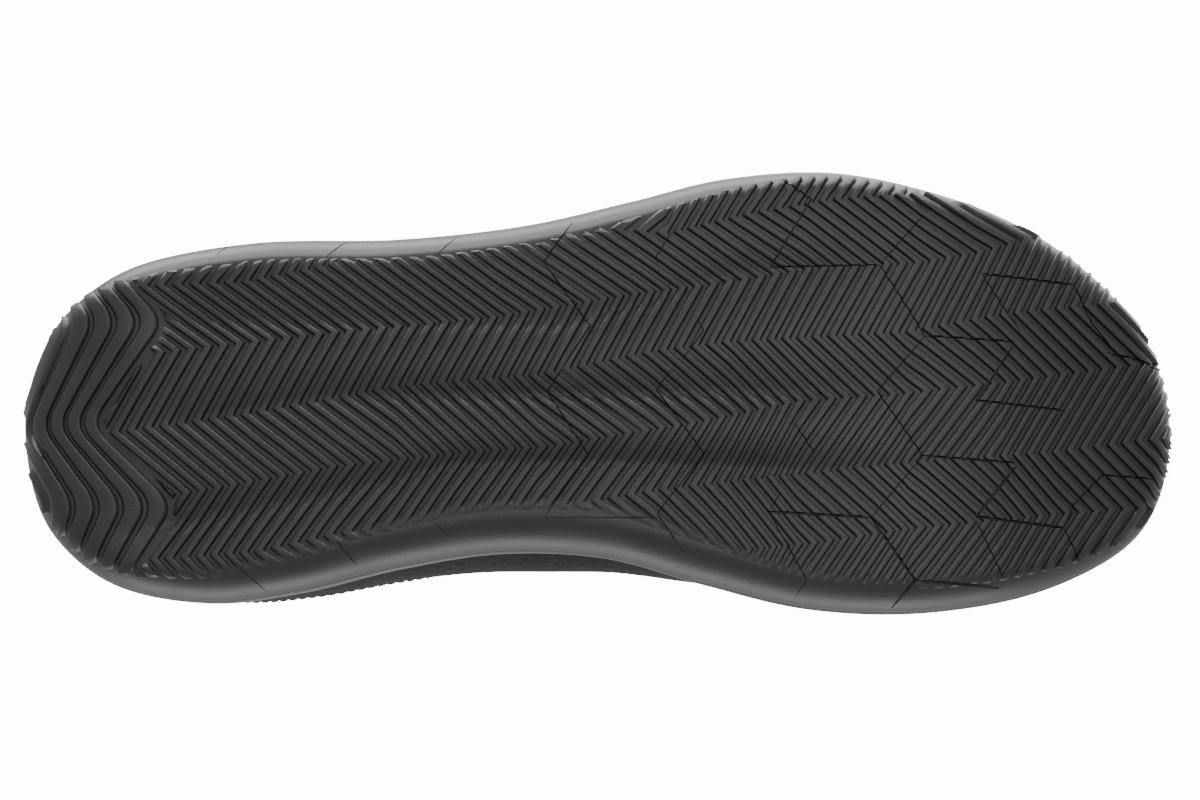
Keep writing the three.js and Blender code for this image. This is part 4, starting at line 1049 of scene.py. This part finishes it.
def repeat(name, mesh, tree, finish, **sizes):
    """Runs a tree of repeated shapes on the places and keeps the result as one plain piece."""
    piece = bpy.data.objects.new(name, mesh)
    bpy.context.scene.collection.objects.link(piece)
    modifier = piece.modifiers.new("repeat", "NODES")
    modifier.node_group = tree
    sockets = {item.name: item.identifier for item in tree.interface.items_tree if item.in_out == "INPUT"}
    modifier[sockets["Finish"]] = finish
    for label, value in sizes.items():
        modifier[sockets[label.replace("_", " ")]] = value
    bpy.context.view_layer.update()
    made = bpy.data.meshes.new_from_object(piece.evaluated_get(bpy.context.evaluated_depsgraph_get()))
    piece.modifiers.clear()
    piece.data = made
    smooth_shape(made, 50)
    return piece


def ring_shape(tree, given):
    """A flanged ring: its section is a closed line swept round a circle, in mm from the flap's surface."""
    section = [
        (EYELET_BORE + EYELET_WALL, -OVERLAY_OUT), (EYELET_BORE + EYELET_WALL, 0.3), (EYELET_FLANGE, 0.3),
        (EYELET_FLANGE, 0.55), (EYELET_FLANGE - 0.25, 0.9), (EYELET_FLANGE - 0.8, 1.15), (EYELET_BORE + 0.6, 1.15),
        (EYELET_BORE + 0.15, 0.85), (EYELET_BORE, 0.4), (EYELET_BORE, -OVERLAY_OUT),
    ]
    turns = 28
    points = [
        (r * math.cos(2 * math.pi * k / turns) * MM, r * math.sin(2 * math.pi * k / turns) * MM, z * MM)
        for k in range(turns) for r, z in section
    ]
    count = len(section)
    faces = [
        (k * count + j, (k + 1) % turns * count + j, (k + 1) % turns * count + (j + 1) % count, k * count + (j + 1) % count)
        for k in range(turns) for j in range(count)
    ]
    mesh = bpy.data.meshes.new("ring")
    mesh.from_pydata(points, [], faces)
    holder = bpy.data.objects.new("ring", mesh)
    info = tree.nodes.new("GeometryNodeObjectInfo")
    info.inputs["Object"].default_value = holder
    size = tree.nodes.new("GeometryNodeTransform")
    scale = tree.nodes.new("ShaderNodeCombineXYZ")
    for axis in range(3):
        tree.links.new(given["Size"], scale.inputs[axis])
    tree.links.new(info.outputs["Geometry"], size.inputs["Geometry"])
    tree.links.new(scale.outputs[0], size.inputs["Scale"])
    return size.outputs[0]


def eyelet_frames(rows):
    places, headings, normals = [], [], []
    for side in (1, -1):
        for row in rows:
            rib, up = (np.array([v]) for v in eyelet_place(row))
            side_array = np.array([side])
            normal = facing(rib, side_array, up, SHELL_OUT)[0]
            along = (on_upper(rib - 0.2, side_array, up, SHELL_OUT) - on_upper(rib + 0.2, side_array, up, SHELL_OUT))[0]
            along -= normal * along.dot(normal)
            places.append(on_upper(rib, side_array, up, OVERLAY_OUT)[0])
            headings.append(along / np.linalg.norm(along))
            normals.append(normal)
    return np.array(places), np.array(headings), np.array(normals)


ring_places, ring_headings, ring_normals = eyelet_frames(range(EYELET_ROWS))
rings = repeat("eyelet_rings", frames(ring_places, ring_headings, ring_normals),
               repeat_tree("eyelets", ring_shape, {"Size": 1.0}), ring_black)
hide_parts(*[f"eyelet_{side}_{row + 1}" for side in ("medial", "lateral") for row in range(EYELET_ROWS)])


def drill(side):
    """Six round tools through the layers of one lacing flap, a little bigger than the eyelets' tubes."""
    radius, turns, reach = EYELET_BORE + EYELET_WALL + 0.25, 24, 14
    points, faces = [], []
    for place, along, normal in list(zip(ring_places, ring_headings, ring_normals))[slice(0, 6) if side > 0 else slice(6, 12)]:
        first, third = len(points), np.cross(normal, along)
        for depth in (-reach, reach):
            for k in range(turns):
                t = 2 * math.pi * k / turns
                points.append(place + normal * depth + radius * (math.cos(t) * along + math.sin(t) * third))
        faces += [(first + k, first + (k + 1) % turns, first + turns + (k + 1) % turns, first + turns + k) for k in range(turns)]
        faces += [tuple(range(first, first + turns)), tuple(range(first + turns, first + 2 * turns))]
    return make_mesh("drill", points, faces, film_black)


drills = {"medial": drill(1), "lateral": drill(-1)}
for name in ("medial", "lateral"):
    cut(quarters[name], [drills[name]], keep_tools=True)
    cut(quarters[name + "_flap"], [drills[name]], keep_tools=True)

# ---------------------------------------------------------------- collar
# The padded collar: knitted lining over soft foam, rolled over the top line and stitched to the quarters.
# Below the roll the lining runs down to the board, and forwards under the lacing flaps.
COLLAR_PAD = 5
COLLAR_PAD_START = 0.5
COLLAR_FOAM_START = 3 / 7


def collar_swell(rib, up):
    share = up / top_of(rib)
    round_ = np.sin(np.pi * np.clip((share - COLLAR_PAD_START) / (1.1 - COLLAR_PAD_START), 0, 1))
    return COLLAR_PAD * round_ * (1 - ease(along_of(rib / RIBS) / HALF, -0.36, -0.12))


def ankle(rib):
    return 1 - ease(rib, 11.5, 14)


def collar_inside(rib, up):
    return -collar_swell(rib, np.minimum(up, top_of(rib)))


def collar_outside(rib, up):
    start = COLLAR_FOAM_START * top_of(rib)
    padded_part = ease(up, start, start + 0.012)
    lip = 1.6 * ankle(rib) * ease(up, top_of(rib) - 0.002, top_of(rib) + 0.014)
    return LINING + (PADDING_OUT - LINING) * padded_part + lip


def collar_top(ribs, sides):
    return top_of(ribs) + 0.002 + 0.024 * ankle(ribs)


rear_ribs, rear_sides = round_tip(THROAT_RIB - SEAM, 0)[0], None
one_side = np.linspace(THROAT_RIB - SEAM, 0, 19 * 8)
rear_ribs = np.concatenate([one_side, one_side[::-1][1:]])
rear_sides = np.concatenate([np.ones(len(one_side)), -np.ones(len(one_side) - 1)])
collar = sheet("collar_padding", rear_ribs, rear_sides, board, collar_top, collar_inside, collar_outside, knit_black,
               steps=56, rounding=0.03)
cut(collar, [drills["medial"], drills["lateral"]], keep_tools=True)
for tool in drills.values():
    bpy.data.objects.remove(tool)
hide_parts("collar_lining", "collar_foam")
for piece in (vamp, vamp_lining, rings, collar, *quarters.values()):
    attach(piece, "shoe")

# ---------------------------------------------------------------- heel clip, heel tab and toe guard
# A moulded clip is glued round the outside of the heel, webbing closes the back seam above it, and an
# abrasion guard is fused round the toe, longer on the medial side, which drags on the court.
CLIP_RIB = 7
TAB_RIB = 1
GUARD = {"medial": 20, "lateral": 24, "height": 0.16, "tip": 0.4}


def clip_bottom(ribs, sides):
    return rim_share(ribs, sides, OVERLAY_IN)


def clip_top(ribs, sides):
    low = clip_bottom(ribs, sides)
    corner = 0.3 + 0.7 * rounded(CLIP_RIB - ribs, 0.8)
    return low + (top_of(ribs) - low) * (0.6 - 0.4 * (ribs / CLIP_RIB) ** 2) * corner


def both_sides(rib, per_rib):
    line = np.linspace(rib, 0, int(rib * per_rib) + 1)
    return np.concatenate([line, line[::-1][1:]]), np.concatenate([np.ones(len(line)), -np.ones(len(line) - 1)])


clip_ribs, clip_sides = both_sides(CLIP_RIB, 10)
clip_black = moulding("clip_plastic", (0.011, 0.011, 0.012), (0.017, 0.017, 0.018), 0.27, grain=1100.0, bump=0.2)
clip = sheet("heel_clip_moulding", clip_ribs, clip_sides, clip_bottom, clip_top, fixed(OVERLAY_IN), fixed(OVERLAY_OUT),
             clip_black, steps=22, ends=0.25)
tab_ribs, tab_sides = both_sides(TAB_RIB, 14)
webbing = cloth("webbing", (0.019, 0.019, 0.02), weave, 1.5, roughness=0.7)
tab = sheet("heel_tab_webbing", tab_ribs, tab_sides, lambda r, s: clip_top(r, s) + 0.008, lambda r, s: top_of(r) + 0.012,
            fixed(OVERLAY_IN), fixed(OVERLAY_OUT + 0.6), webbing, steps=26, ends=0.12)
one_side = np.linspace(GUARD["medial"], RIBS, 80)
other_side = np.linspace(RIBS, GUARD["lateral"], 48)[1:]
guard_ribs = np.concatenate([one_side, other_side])
guard_sides = np.concatenate([np.ones(80), -np.ones(47)])


def guard_top(ribs, sides):
    end = np.where(sides > 0, ribs - GUARD["medial"], ribs - GUARD["lateral"])
    height = GUARD["height"] + (GUARD["tip"] - GUARD["height"]) * ease(ribs, 22, RIBS)
    return rim_share(ribs, sides, OVERLAY_IN) + height * (0.35 + 0.65 * rounded(end, 1.1))


guard = sheet("toe_guard_film", guard_ribs, guard_sides, clip_bottom, guard_top, fixed(OVERLAY_IN), fixed(OVERLAY_OUT),
              film_black, steps=24, ends=0.3)
for piece, stands_for, finish in ((clip, "heel_clip", "clip"), (tab, "heel_tab", "webbing"), (guard, "toe_guard", "guard")):
    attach(piece, "shoe")
    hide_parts(stands_for)

# ---------------------------------------------------------------- tongue
# A padded tongue: knit over soft foam, quilted in channels, with a flat stitched border. Its front end is
# stitched to a strip under the throat of the vamp.
TONGUE_BASE_RIB = 20.3
TONGUE_TOP_RIB = 12
TONGUE_BASE_HALF = 0.34
TONGUE_TOP_HALF = 0.42
TONGUE_DROP = 2.8
TONGUE_THICKNESS = 5


def on_tongue(rib, across, off):
    """A point of the tongue: rib down its middle, across from -1 to 1, in sections square to the ridge."""
    rib, across, off = np.broadcast_arrays(*(np.asarray(v, float) for v in (rib, across, off)))
    side = np.where(across < 0, -1, 1)
    widening = 1 - ease(rib, TONGUE_TOP_RIB, TONGUE_BASE_RIB)
    up = 1 - np.abs(across) * (TONGUE_BASE_HALF + (TONGUE_TOP_HALF - TONGUE_BASE_HALF) * widening)
    ones = np.ones_like(rib)
    middle = on_upper(rib, ones, ones, off)
    heading = on_upper(rib - 0.2, ones, ones, off) - on_upper(rib + 0.2, ones, ones, off)
    low, high = rib - 9, rib + 4
    for _ in range(24):
        guess = (low + high) / 2
        ahead = ((on_upper(guess, side, up, off) - middle) * heading).sum(-1) > 0
        low, high = np.where(ahead, guess, low), np.where(ahead, high, guess)
    return on_upper((low + high) / 2, side, up, off)


TONGUE_ROWS, TONGUE_COLUMNS = 72, 49
tongue_v, tongue_w = np.meshgrid(np.linspace(0, 1, TONGUE_ROWS), np.linspace(-1, 1, TONGUE_COLUMNS), indexing="ij")
corner = 1 - 0.16 * np.clip((tongue_v - 0.84) / 0.16, 0, 1) ** 2.4
top_rib = TONGUE_TOP_RIB + 0.15 + 1.0 * np.abs(tongue_w) ** 3.2
tongue_rib = TONGUE_BASE_RIB + (top_rib - TONGUE_BASE_RIB) * tongue_v
border = np.minimum(np.minimum(tongue_v * 26, (1 - tongue_v) * 26), (1 - np.abs(tongue_w)) * 6.5)
flat_border = ease(border, 0.9, 2.2)
curl = np.sqrt(np.clip(1 - (1 - np.clip(border / 0.35, 0, 1)) ** 2, 0, 1))
channel = np.ones_like(tongue_v)
for at in (0.62, 0.72, 0.82):
    channel *= 1 - 0.75 * np.exp(-(((tongue_v - at) / 0.008) ** 2)) * ease(1 - np.abs(tongue_w), 0.1, 0.25)
thick = curl * (1.6 + (TONGUE_THICKNESS - 1.6) * flat_border * channel)
puff = 1.2 * flat_border * channel * ease(tongue_v, 0.72, 0.9)
rise = on_tongue(tongue_rib, tongue_w * corner, -TONGUE_DROP - (TONGUE_THICKNESS - thick) / 2 + puff)
fall = on_tongue(tongue_rib, tongue_w * corner, -TONGUE_DROP - (TONGUE_THICKNESS + thick) / 2)
quads = grid_faces(TONGUE_ROWS, TONGUE_COLUMNS)
count = TONGUE_ROWS * TONGUE_COLUMNS
tongue_points = np.vstack([rise.reshape(-1, 3), fall.reshape(-1, 3)])
tongue_cloth = np.tile(np.stack([tongue_w * 26, tongue_v * 125], -1).reshape(-1, 2), (2, 1))
tongue = make_mesh("tongue_padding", tongue_points, np.vstack([quads, quads[:, ::-1] + count]), mesh_black, 60,
                   tongue_cloth)
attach(tongue, "tongue")
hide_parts("tongue_cover", "tongue_foam", "tongue_lining")

# ---------------------------------------------------------------- lace
# One flat woven tape through all twelve eyelets: it runs straight over the tongue from side to side and
# slants up to the next row below. Both ends are tucked under the flaps.
LACE_WIDTH = 6.5
LACE_THICKNESS = 1.2
LACE_DEPTH = 0.3
LACE_BED = OVERLAY_OUT + GAP + LACE_THICKNESS / 2
LACE_OVER = LACE_BED + 0.4 + 0.7
LACE_UNDER = -(GAP + LACE_THICKNESS / 2 + LACE_DEPTH)
EYELET_RUN = [(LACE_UNDER - 0.1, 0.34), (SHELL_IN, 0.32), (OVERLAY_OUT + 1, 0.32), (LACE_OVER + 1.1, 0.38)]
point_at = lambda rib, side, up, off: on_upper(np.array([float(rib)]), np.array([side]), np.array([float(up)]), off)[0]


def lace_stops():
    """Places along the lace, the direction of its width there, and its width as a share of the full width."""
    stops = []
    for row in range(EYELET_ROWS):
        rib, up = eyelet_place(row)
        wide = point_at(rib - 0.3, 1, 1, 0) - point_at(rib + 0.3, 1, 1, 0)
        wide /= np.linalg.norm(wide)
        runs = {}
        for side in (-1, 1):
            index = row + (0 if side > 0 else EYELET_ROWS)
            runs[side] = [(ring_places[index] + ring_normals[index] * (off - OVERLAY_OUT), wide, narrow)
                          for off, narrow in EYELET_RUN]
        stops += runs[-1]
        start, end = (point_at(rib, side, top_of(rib) + 0.01, LACE_BED + 0.8) for side in (-1, 1))
        lift = facing(np.array([rib]), np.array([1]), np.array([0.98]), 0)[0]
        for share in np.linspace(0, 1, 7):
            at = start + (end - start) * share + lift * 2 * math.sin(math.pi * share)
            stops.append((at, wide, 1))
        stops += runs[1][::-1]
        if row + 1 == EYELET_ROWS:
            return stops
        next_rib, next_up = eyelet_place(row + 1)
        for share in (0.14, 0.32, 0.5, 0.68, 0.86):
            across = 1 - 2 * share
            level = 1 - abs(across) * (1 - (up + (next_up - up) * share))
            at = point_at(rib + (next_rib - rib) * share, -1 if across < 0 else 1, level, LACE_UNDER)
            stops.append((at, wide, 0.8))


def smooth_line(values, per_span):
    """A centripetal curve through rows of values. The first three are the place."""
    values = np.asarray(values, float)
    ends = np.vstack([2 * values[0] - values[1], values, 2 * values[-1] - values[-2]])
    knots = np.concatenate([[0], np.cumsum(np.linalg.norm(np.diff(ends[:, :3], axis=0), axis=1) ** 0.5)])
    line = []
    for k in range(1, len(ends) - 2):
        t0, t1, t2, t3 = knots[k - 1:k + 3]
        t = np.linspace(t1, t2, per_span, endpoint=False)[:, None]
        mix = lambda a, b, low, high: (high - t) / (high - low) * a + (t - low) / (high - low) * b
        a1, a2, a3 = mix(ends[k - 1], ends[k], t0, t1), mix(ends[k], ends[k + 1], t1, t2), mix(ends[k + 1], ends[k + 2], t2, t3)
        b1, b2 = mix(a1, a2, t0, t2), mix(a2, a3, t1, t3)
        line.append(mix(b1, b2, t1, t2))
    return np.vstack([*line, values[-1:]])


def flat_tape(name, stops, width, thickness, finish):
    """A flat tape with round edges along the stops, with its own coordinates in mm along and across."""
    rows = smooth_line([[*at, *wide, narrow] for at, wide, narrow in stops], 7)
    at, wide, narrow = rows[:, :3], rows[:, 3:6], np.minimum(rows[:, 6], 1)
    heading = np.gradient(at, axis=0)
    heading /= np.linalg.norm(heading, axis=1, keepdims=True)
    wide = wide - heading * (wide * heading).sum(1, keepdims=True)
    wide /= np.linalg.norm(wide, axis=1, keepdims=True)
    up = np.cross(wide, heading)
    turns = np.radians(np.arange(0, 360, 22.5))
    across = np.sign(np.cos(turns)) * np.abs(np.cos(turns)) ** 0.55
    height = np.sign(np.sin(turns)) * np.abs(np.sin(turns)) ** 0.8
    loops = (at[:, None] + wide[:, None] * (across[None, :, None] * (width / 2) * narrow[:, None, None])
             + up[:, None] * (height[None, :, None] * thickness / 2))
    count = len(turns)
    caps = [tuple(range(count)), tuple(range(len(at) * count - count, len(at) * count))]
    run = np.concatenate([[0], np.cumsum(np.linalg.norm(np.diff(at, axis=0), axis=1))])
    laid = np.stack([np.repeat(run, count), (across[None] * narrow[:, None] * width / 2).ravel()], 1)
    faces = [tuple(f) for f in grid_faces(len(at), count, closed=True)] + caps
    return make_mesh(name, loops.reshape(-1, 3), faces, finish, 50, laid)


lace = flat_tape("lace_tape", lace_stops(), LACE_WIDTH, LACE_THICKNESS, webbing)
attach(lace, "shoe")
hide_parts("lace")
# ---------------------------------------------------------------- stitching
# Lock stitches in thick bonded thread hold the eyestays, the seams, the collar, the heel tab and the
# border of the tongue. Each stitch lies in a small dent between its two needle holes.
STITCH_PITCH = 2.7


def stitch_shape(tree, given):
    thread = tree.nodes.new("GeometryNodeMeshUVSphere")
    thread.inputs["Segments"].default_value = 7
    thread.inputs["Rings"].default_value = 5
    thread.inputs["Radius"].default_value = 0.5
    size = tree.nodes.new("GeometryNodeTransform")
    scale = tree.nodes.new("ShaderNodeCombineXYZ")
    for axis, label in enumerate(("Length", "Width", "Depth")):
        tree.links.new(given[label], scale.inputs[axis])
    tree.links.new(thread.outputs["Mesh"], size.inputs["Geometry"])
    tree.links.new(scale.outputs[0], size.inputs["Scale"])
    return size.outputs[0]


def stitch_row(ribs, side, ups, off):
    """Places, headings and normals of one row of stitches along a line on the upper."""
    side = np.full_like(ribs, side)
    line = on_upper(ribs, side, ups, off)
    run = np.concatenate([[0], np.cumsum(np.linalg.norm(np.diff(line, axis=0), axis=1))])
    at = np.arange(STITCH_PITCH / 2, run[-1], STITCH_PITCH)
    pick = lambda values: np.interp(at, run, values)
    places = np.stack([pick(line[:, k]) for k in range(3)], 1)
    ahead = np.stack([np.interp(at + 0.8, run, line[:, k]) - np.interp(at - 0.8, run, line[:, k]) for k in range(3)], 1)
    ahead /= np.linalg.norm(ahead, axis=1, keepdims=True)
    return places, ahead, facing(np.maximum(pick(ribs), 0.1), side[0] * np.ones(len(at)), pick(ups), off)


stitches = repeat_tree("stitches", stitch_shape, {"Length": 0.0023, "Width": 0.0008, "Depth": 0.0007})
thread_black = moulding("bonded_thread", (0.05, 0.05, 0.052), (0.075, 0.075, 0.078), 0.45, grain=3500.0, bump=0.5)
between = lambda low, high, count=240: np.linspace(low, high, count)
rows = []
for side in (1, -1):
    flap = between(THROAT_TOP_RIB + 0.18, THROAT_RIB - 0.22)
    rows.append(stitch_row(flap, side, flap_bottom(flap, None) + 0.018, OVERLAY_OUT))
    rows.append(stitch_row(flap, side, top_of(flap) - 0.018, OVERLAY_OUT))
    around = between(0.02, 13.9, 600)
    rows.append(stitch_row(around, side, top_of(around) - 0.03, SHELL_OUT))
    low = float(rim_share(np.array([18.7]), np.array([side]), SHELL_OUT)[0])
    for rib in (18.72, 18.58):
        climb = between(low, float(top_of(rib)) - EYESTAY_WIDTH - 0.01)
        rows.append(stitch_row(np.full_like(climb, rib), side, climb, SHELL_OUT))
    edge_rib = np.full(240, 0.82)
    climb = between(float(clip_top(np.array([0.82]), np.array([side]))[0]) + 0.02, float(top_of(0.82)) - 0.004)
    rows.append(stitch_row(edge_rib, side, climb, OVERLAY_OUT + 0.6))
shoe_stitches = repeat("upper_stitches", frames(*(np.concatenate(part) for part in zip(*rows))), stitches, thread_black)
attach(shoe_stitches, "shoe")

tongue_line = [(v, w) for w in (-1, 1) for v in between(0.1, 0.955, 200)[:: w]]
tongue_v_line, tongue_side = np.array(tongue_line).T
w_line = tongue_side * 0.875 * (1 - 0.16 * np.clip((tongue_v_line - 0.84) / 0.16, 0, 1) ** 2.4)
rib_line = TONGUE_BASE_RIB + (TONGUE_TOP_RIB + 0.15 + 0.875**3.2 - TONGUE_BASE_RIB) * tongue_v_line
border_line = on_tongue(rib_line, w_line, -TONGUE_DROP - (TONGUE_THICKNESS - 1.6) / 2)
run = np.concatenate([[0], np.cumsum(np.linalg.norm(np.diff(border_line, axis=0), axis=1))])
at = np.arange(2, run[-1], STITCH_PITCH)
places = np.stack([np.interp(at, run, border_line[:, k]) for k in range(3)], 1)
ahead = np.stack([np.interp(at + 0.8, run, border_line[:, k]) - np.interp(at - 0.8, run, border_line[:, k]) for k in range(3)], 1)
ahead /= np.linalg.norm(ahead, axis=1, keepdims=True)
tongue_stitches = repeat("tongue_stitches", frames(places, ahead, np.tile([0.0, -0.4, 0.9], (len(at), 1))), stitches, thread_black)
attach(tongue_stitches, "tongue")

# ---------------------------------------------------------------- hidden pieces
# What the shell covers keeps its moulded or cut shape: shank, cushion, board, counter, puff, foams and strip.
inserts = {
    "shank_plate": moulding("shank_plastic", (0.09, 0.09, 0.095), (0.13, 0.13, 0.135), 0.35, bump=0.15),
    "heel_cushion": moulding("cushion_foam", (0.5, 0.5, 0.48), (0.6, 0.6, 0.58), 0.75, grain=800.0, bump=0.4),
    "strobel_board": moulding("needled_board", (0.3, 0.3, 0.29), (0.42, 0.42, 0.41), 0.95, grain=1200.0, bump=0.6),
    "heel_counter": moulding("counter_board", (0.12, 0.12, 0.12), (0.17, 0.17, 0.17), 0.6, bump=0.3),
    "toe_puff": moulding("puff_board", (0.12, 0.12, 0.12), (0.17, 0.17, 0.17), 0.65, bump=0.3),
    "vamp_foam": foam_black,
    "medial_quarter_foam": foam_black,
    "lateral_quarter_foam": foam_black,
    "tongue_anchor": moulding("anchor_tape", (0.02, 0.02, 0.021), (0.035, 0.035, 0.036), 0.85, grain=1400.0, bump=0.7),
}
for name, finish in inserts.items():
    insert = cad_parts[name]
    insert.data.materials.clear()
    insert.data.materials.append(finish)

# ---------------------------------------------------------------- stage
# A pale studio: white surroundings, a soft light on the lateral side and behind, and a fill in front.
FLOOR_SIZE = 6
world = bpy.data.worlds.new("studio")
world.use_nodes = True
surroundings = world.node_tree
backdrop = surroundings.nodes["Background"]
backdrop.inputs["Color"].default_value = (1, 1, 1, 1)
rays = node(surroundings, "ShaderNodeLightPath").outputs
glossy = sums(surroundings, "MULTIPLY_ADD", rays["Is Glossy Ray"], 0.55, 0.3)
surroundings.links.new(sums(surroundings, "MULTIPLY_ADD", rays["Is Camera Ray"], 14.0, glossy), backdrop.inputs["Strength"])
bpy.context.scene.world = world


def soft_light(name, place, towards, size, power):
    light = bpy.data.lights.new(name, "AREA")
    light.shape = "RECTANGLE"
    light.size, light.size_y = size
    light.energy = power
    lamp = bpy.data.objects.new(name, light)
    bpy.context.scene.collection.objects.link(lamp)
    place = Vector(place)
    lamp.location = place
    lamp.rotation_euler = (Vector(towards) - place).to_track_quat("-Z", "Y").to_euler()
    return lamp


soft_light("lateral_light", (-1.1, 0.05, -0.3), (0, 0, 0), (1.4, 0.5), 17)
soft_light("rim_light", (-0.9, 0.1, 0.35), (0, 0, 0.02), (1.4, 0.4), 14)
soft_light("front_light", (-0.2, -0.3, -1.6), (0, -0.05, 0), (0.6, 0.6), 3.4)
soft_light("medial_light", (1.0, 0.1, 0.4), (0.05, 0.02, 0.01), (1.4, 0.5), 7)
soft_light("upper_light", (-0.6, -0.6, 1.3), (0, 0, 0.05), (1.4, 1.4), 20)

# The floor only shows from above: from below it is clear, so that the tread can be seen through it.
floor_finish = bpy.data.materials.new("pale_floor")
floor_finish.use_nodes = True
floor_tree = floor_finish.node_tree
floor_shader = floor_tree.nodes["Principled BSDF"]
floor_shader.inputs["Base Color"].default_value = (0.9, 0.9, 0.9, 1)
floor_shader.inputs["Roughness"].default_value = 0.9
clear = node(floor_tree, "ShaderNodeBsdfTransparent")
below = node(floor_tree, "ShaderNodeNewGeometry").outputs["Backfacing"]
mixed = node(floor_tree, "ShaderNodeMixShader", {0: below, 1: floor_shader.outputs[0], 2: clear.outputs[0]})
floor_tree.links.new(mixed.outputs[0], floor_tree.nodes["Material Output"].inputs["Surface"])
reach = FLOOR_SIZE * 500
floor_points = [(-reach, -reach, 0), (-reach, reach, 0), (reach, reach, 0), (reach, -reach, 0)]
floor_mesh = bpy.data.meshes.new("floor")
floor_mesh.from_pydata([(x * MM, a * MM, -0.0002) for x, a, _ in floor_points], [], [(0, 3, 2, 1)])
floor_mesh.materials.append(floor_finish)
floor = bpy.data.objects.new("floor", floor_mesh)
bpy.context.scene.collection.objects.link(floor)
floor.visible_diffuse = False
floor.visible_glossy = False
floor.visible_transmission = False
floor.visible_shadow = False

bpy.context.view_layer.update()
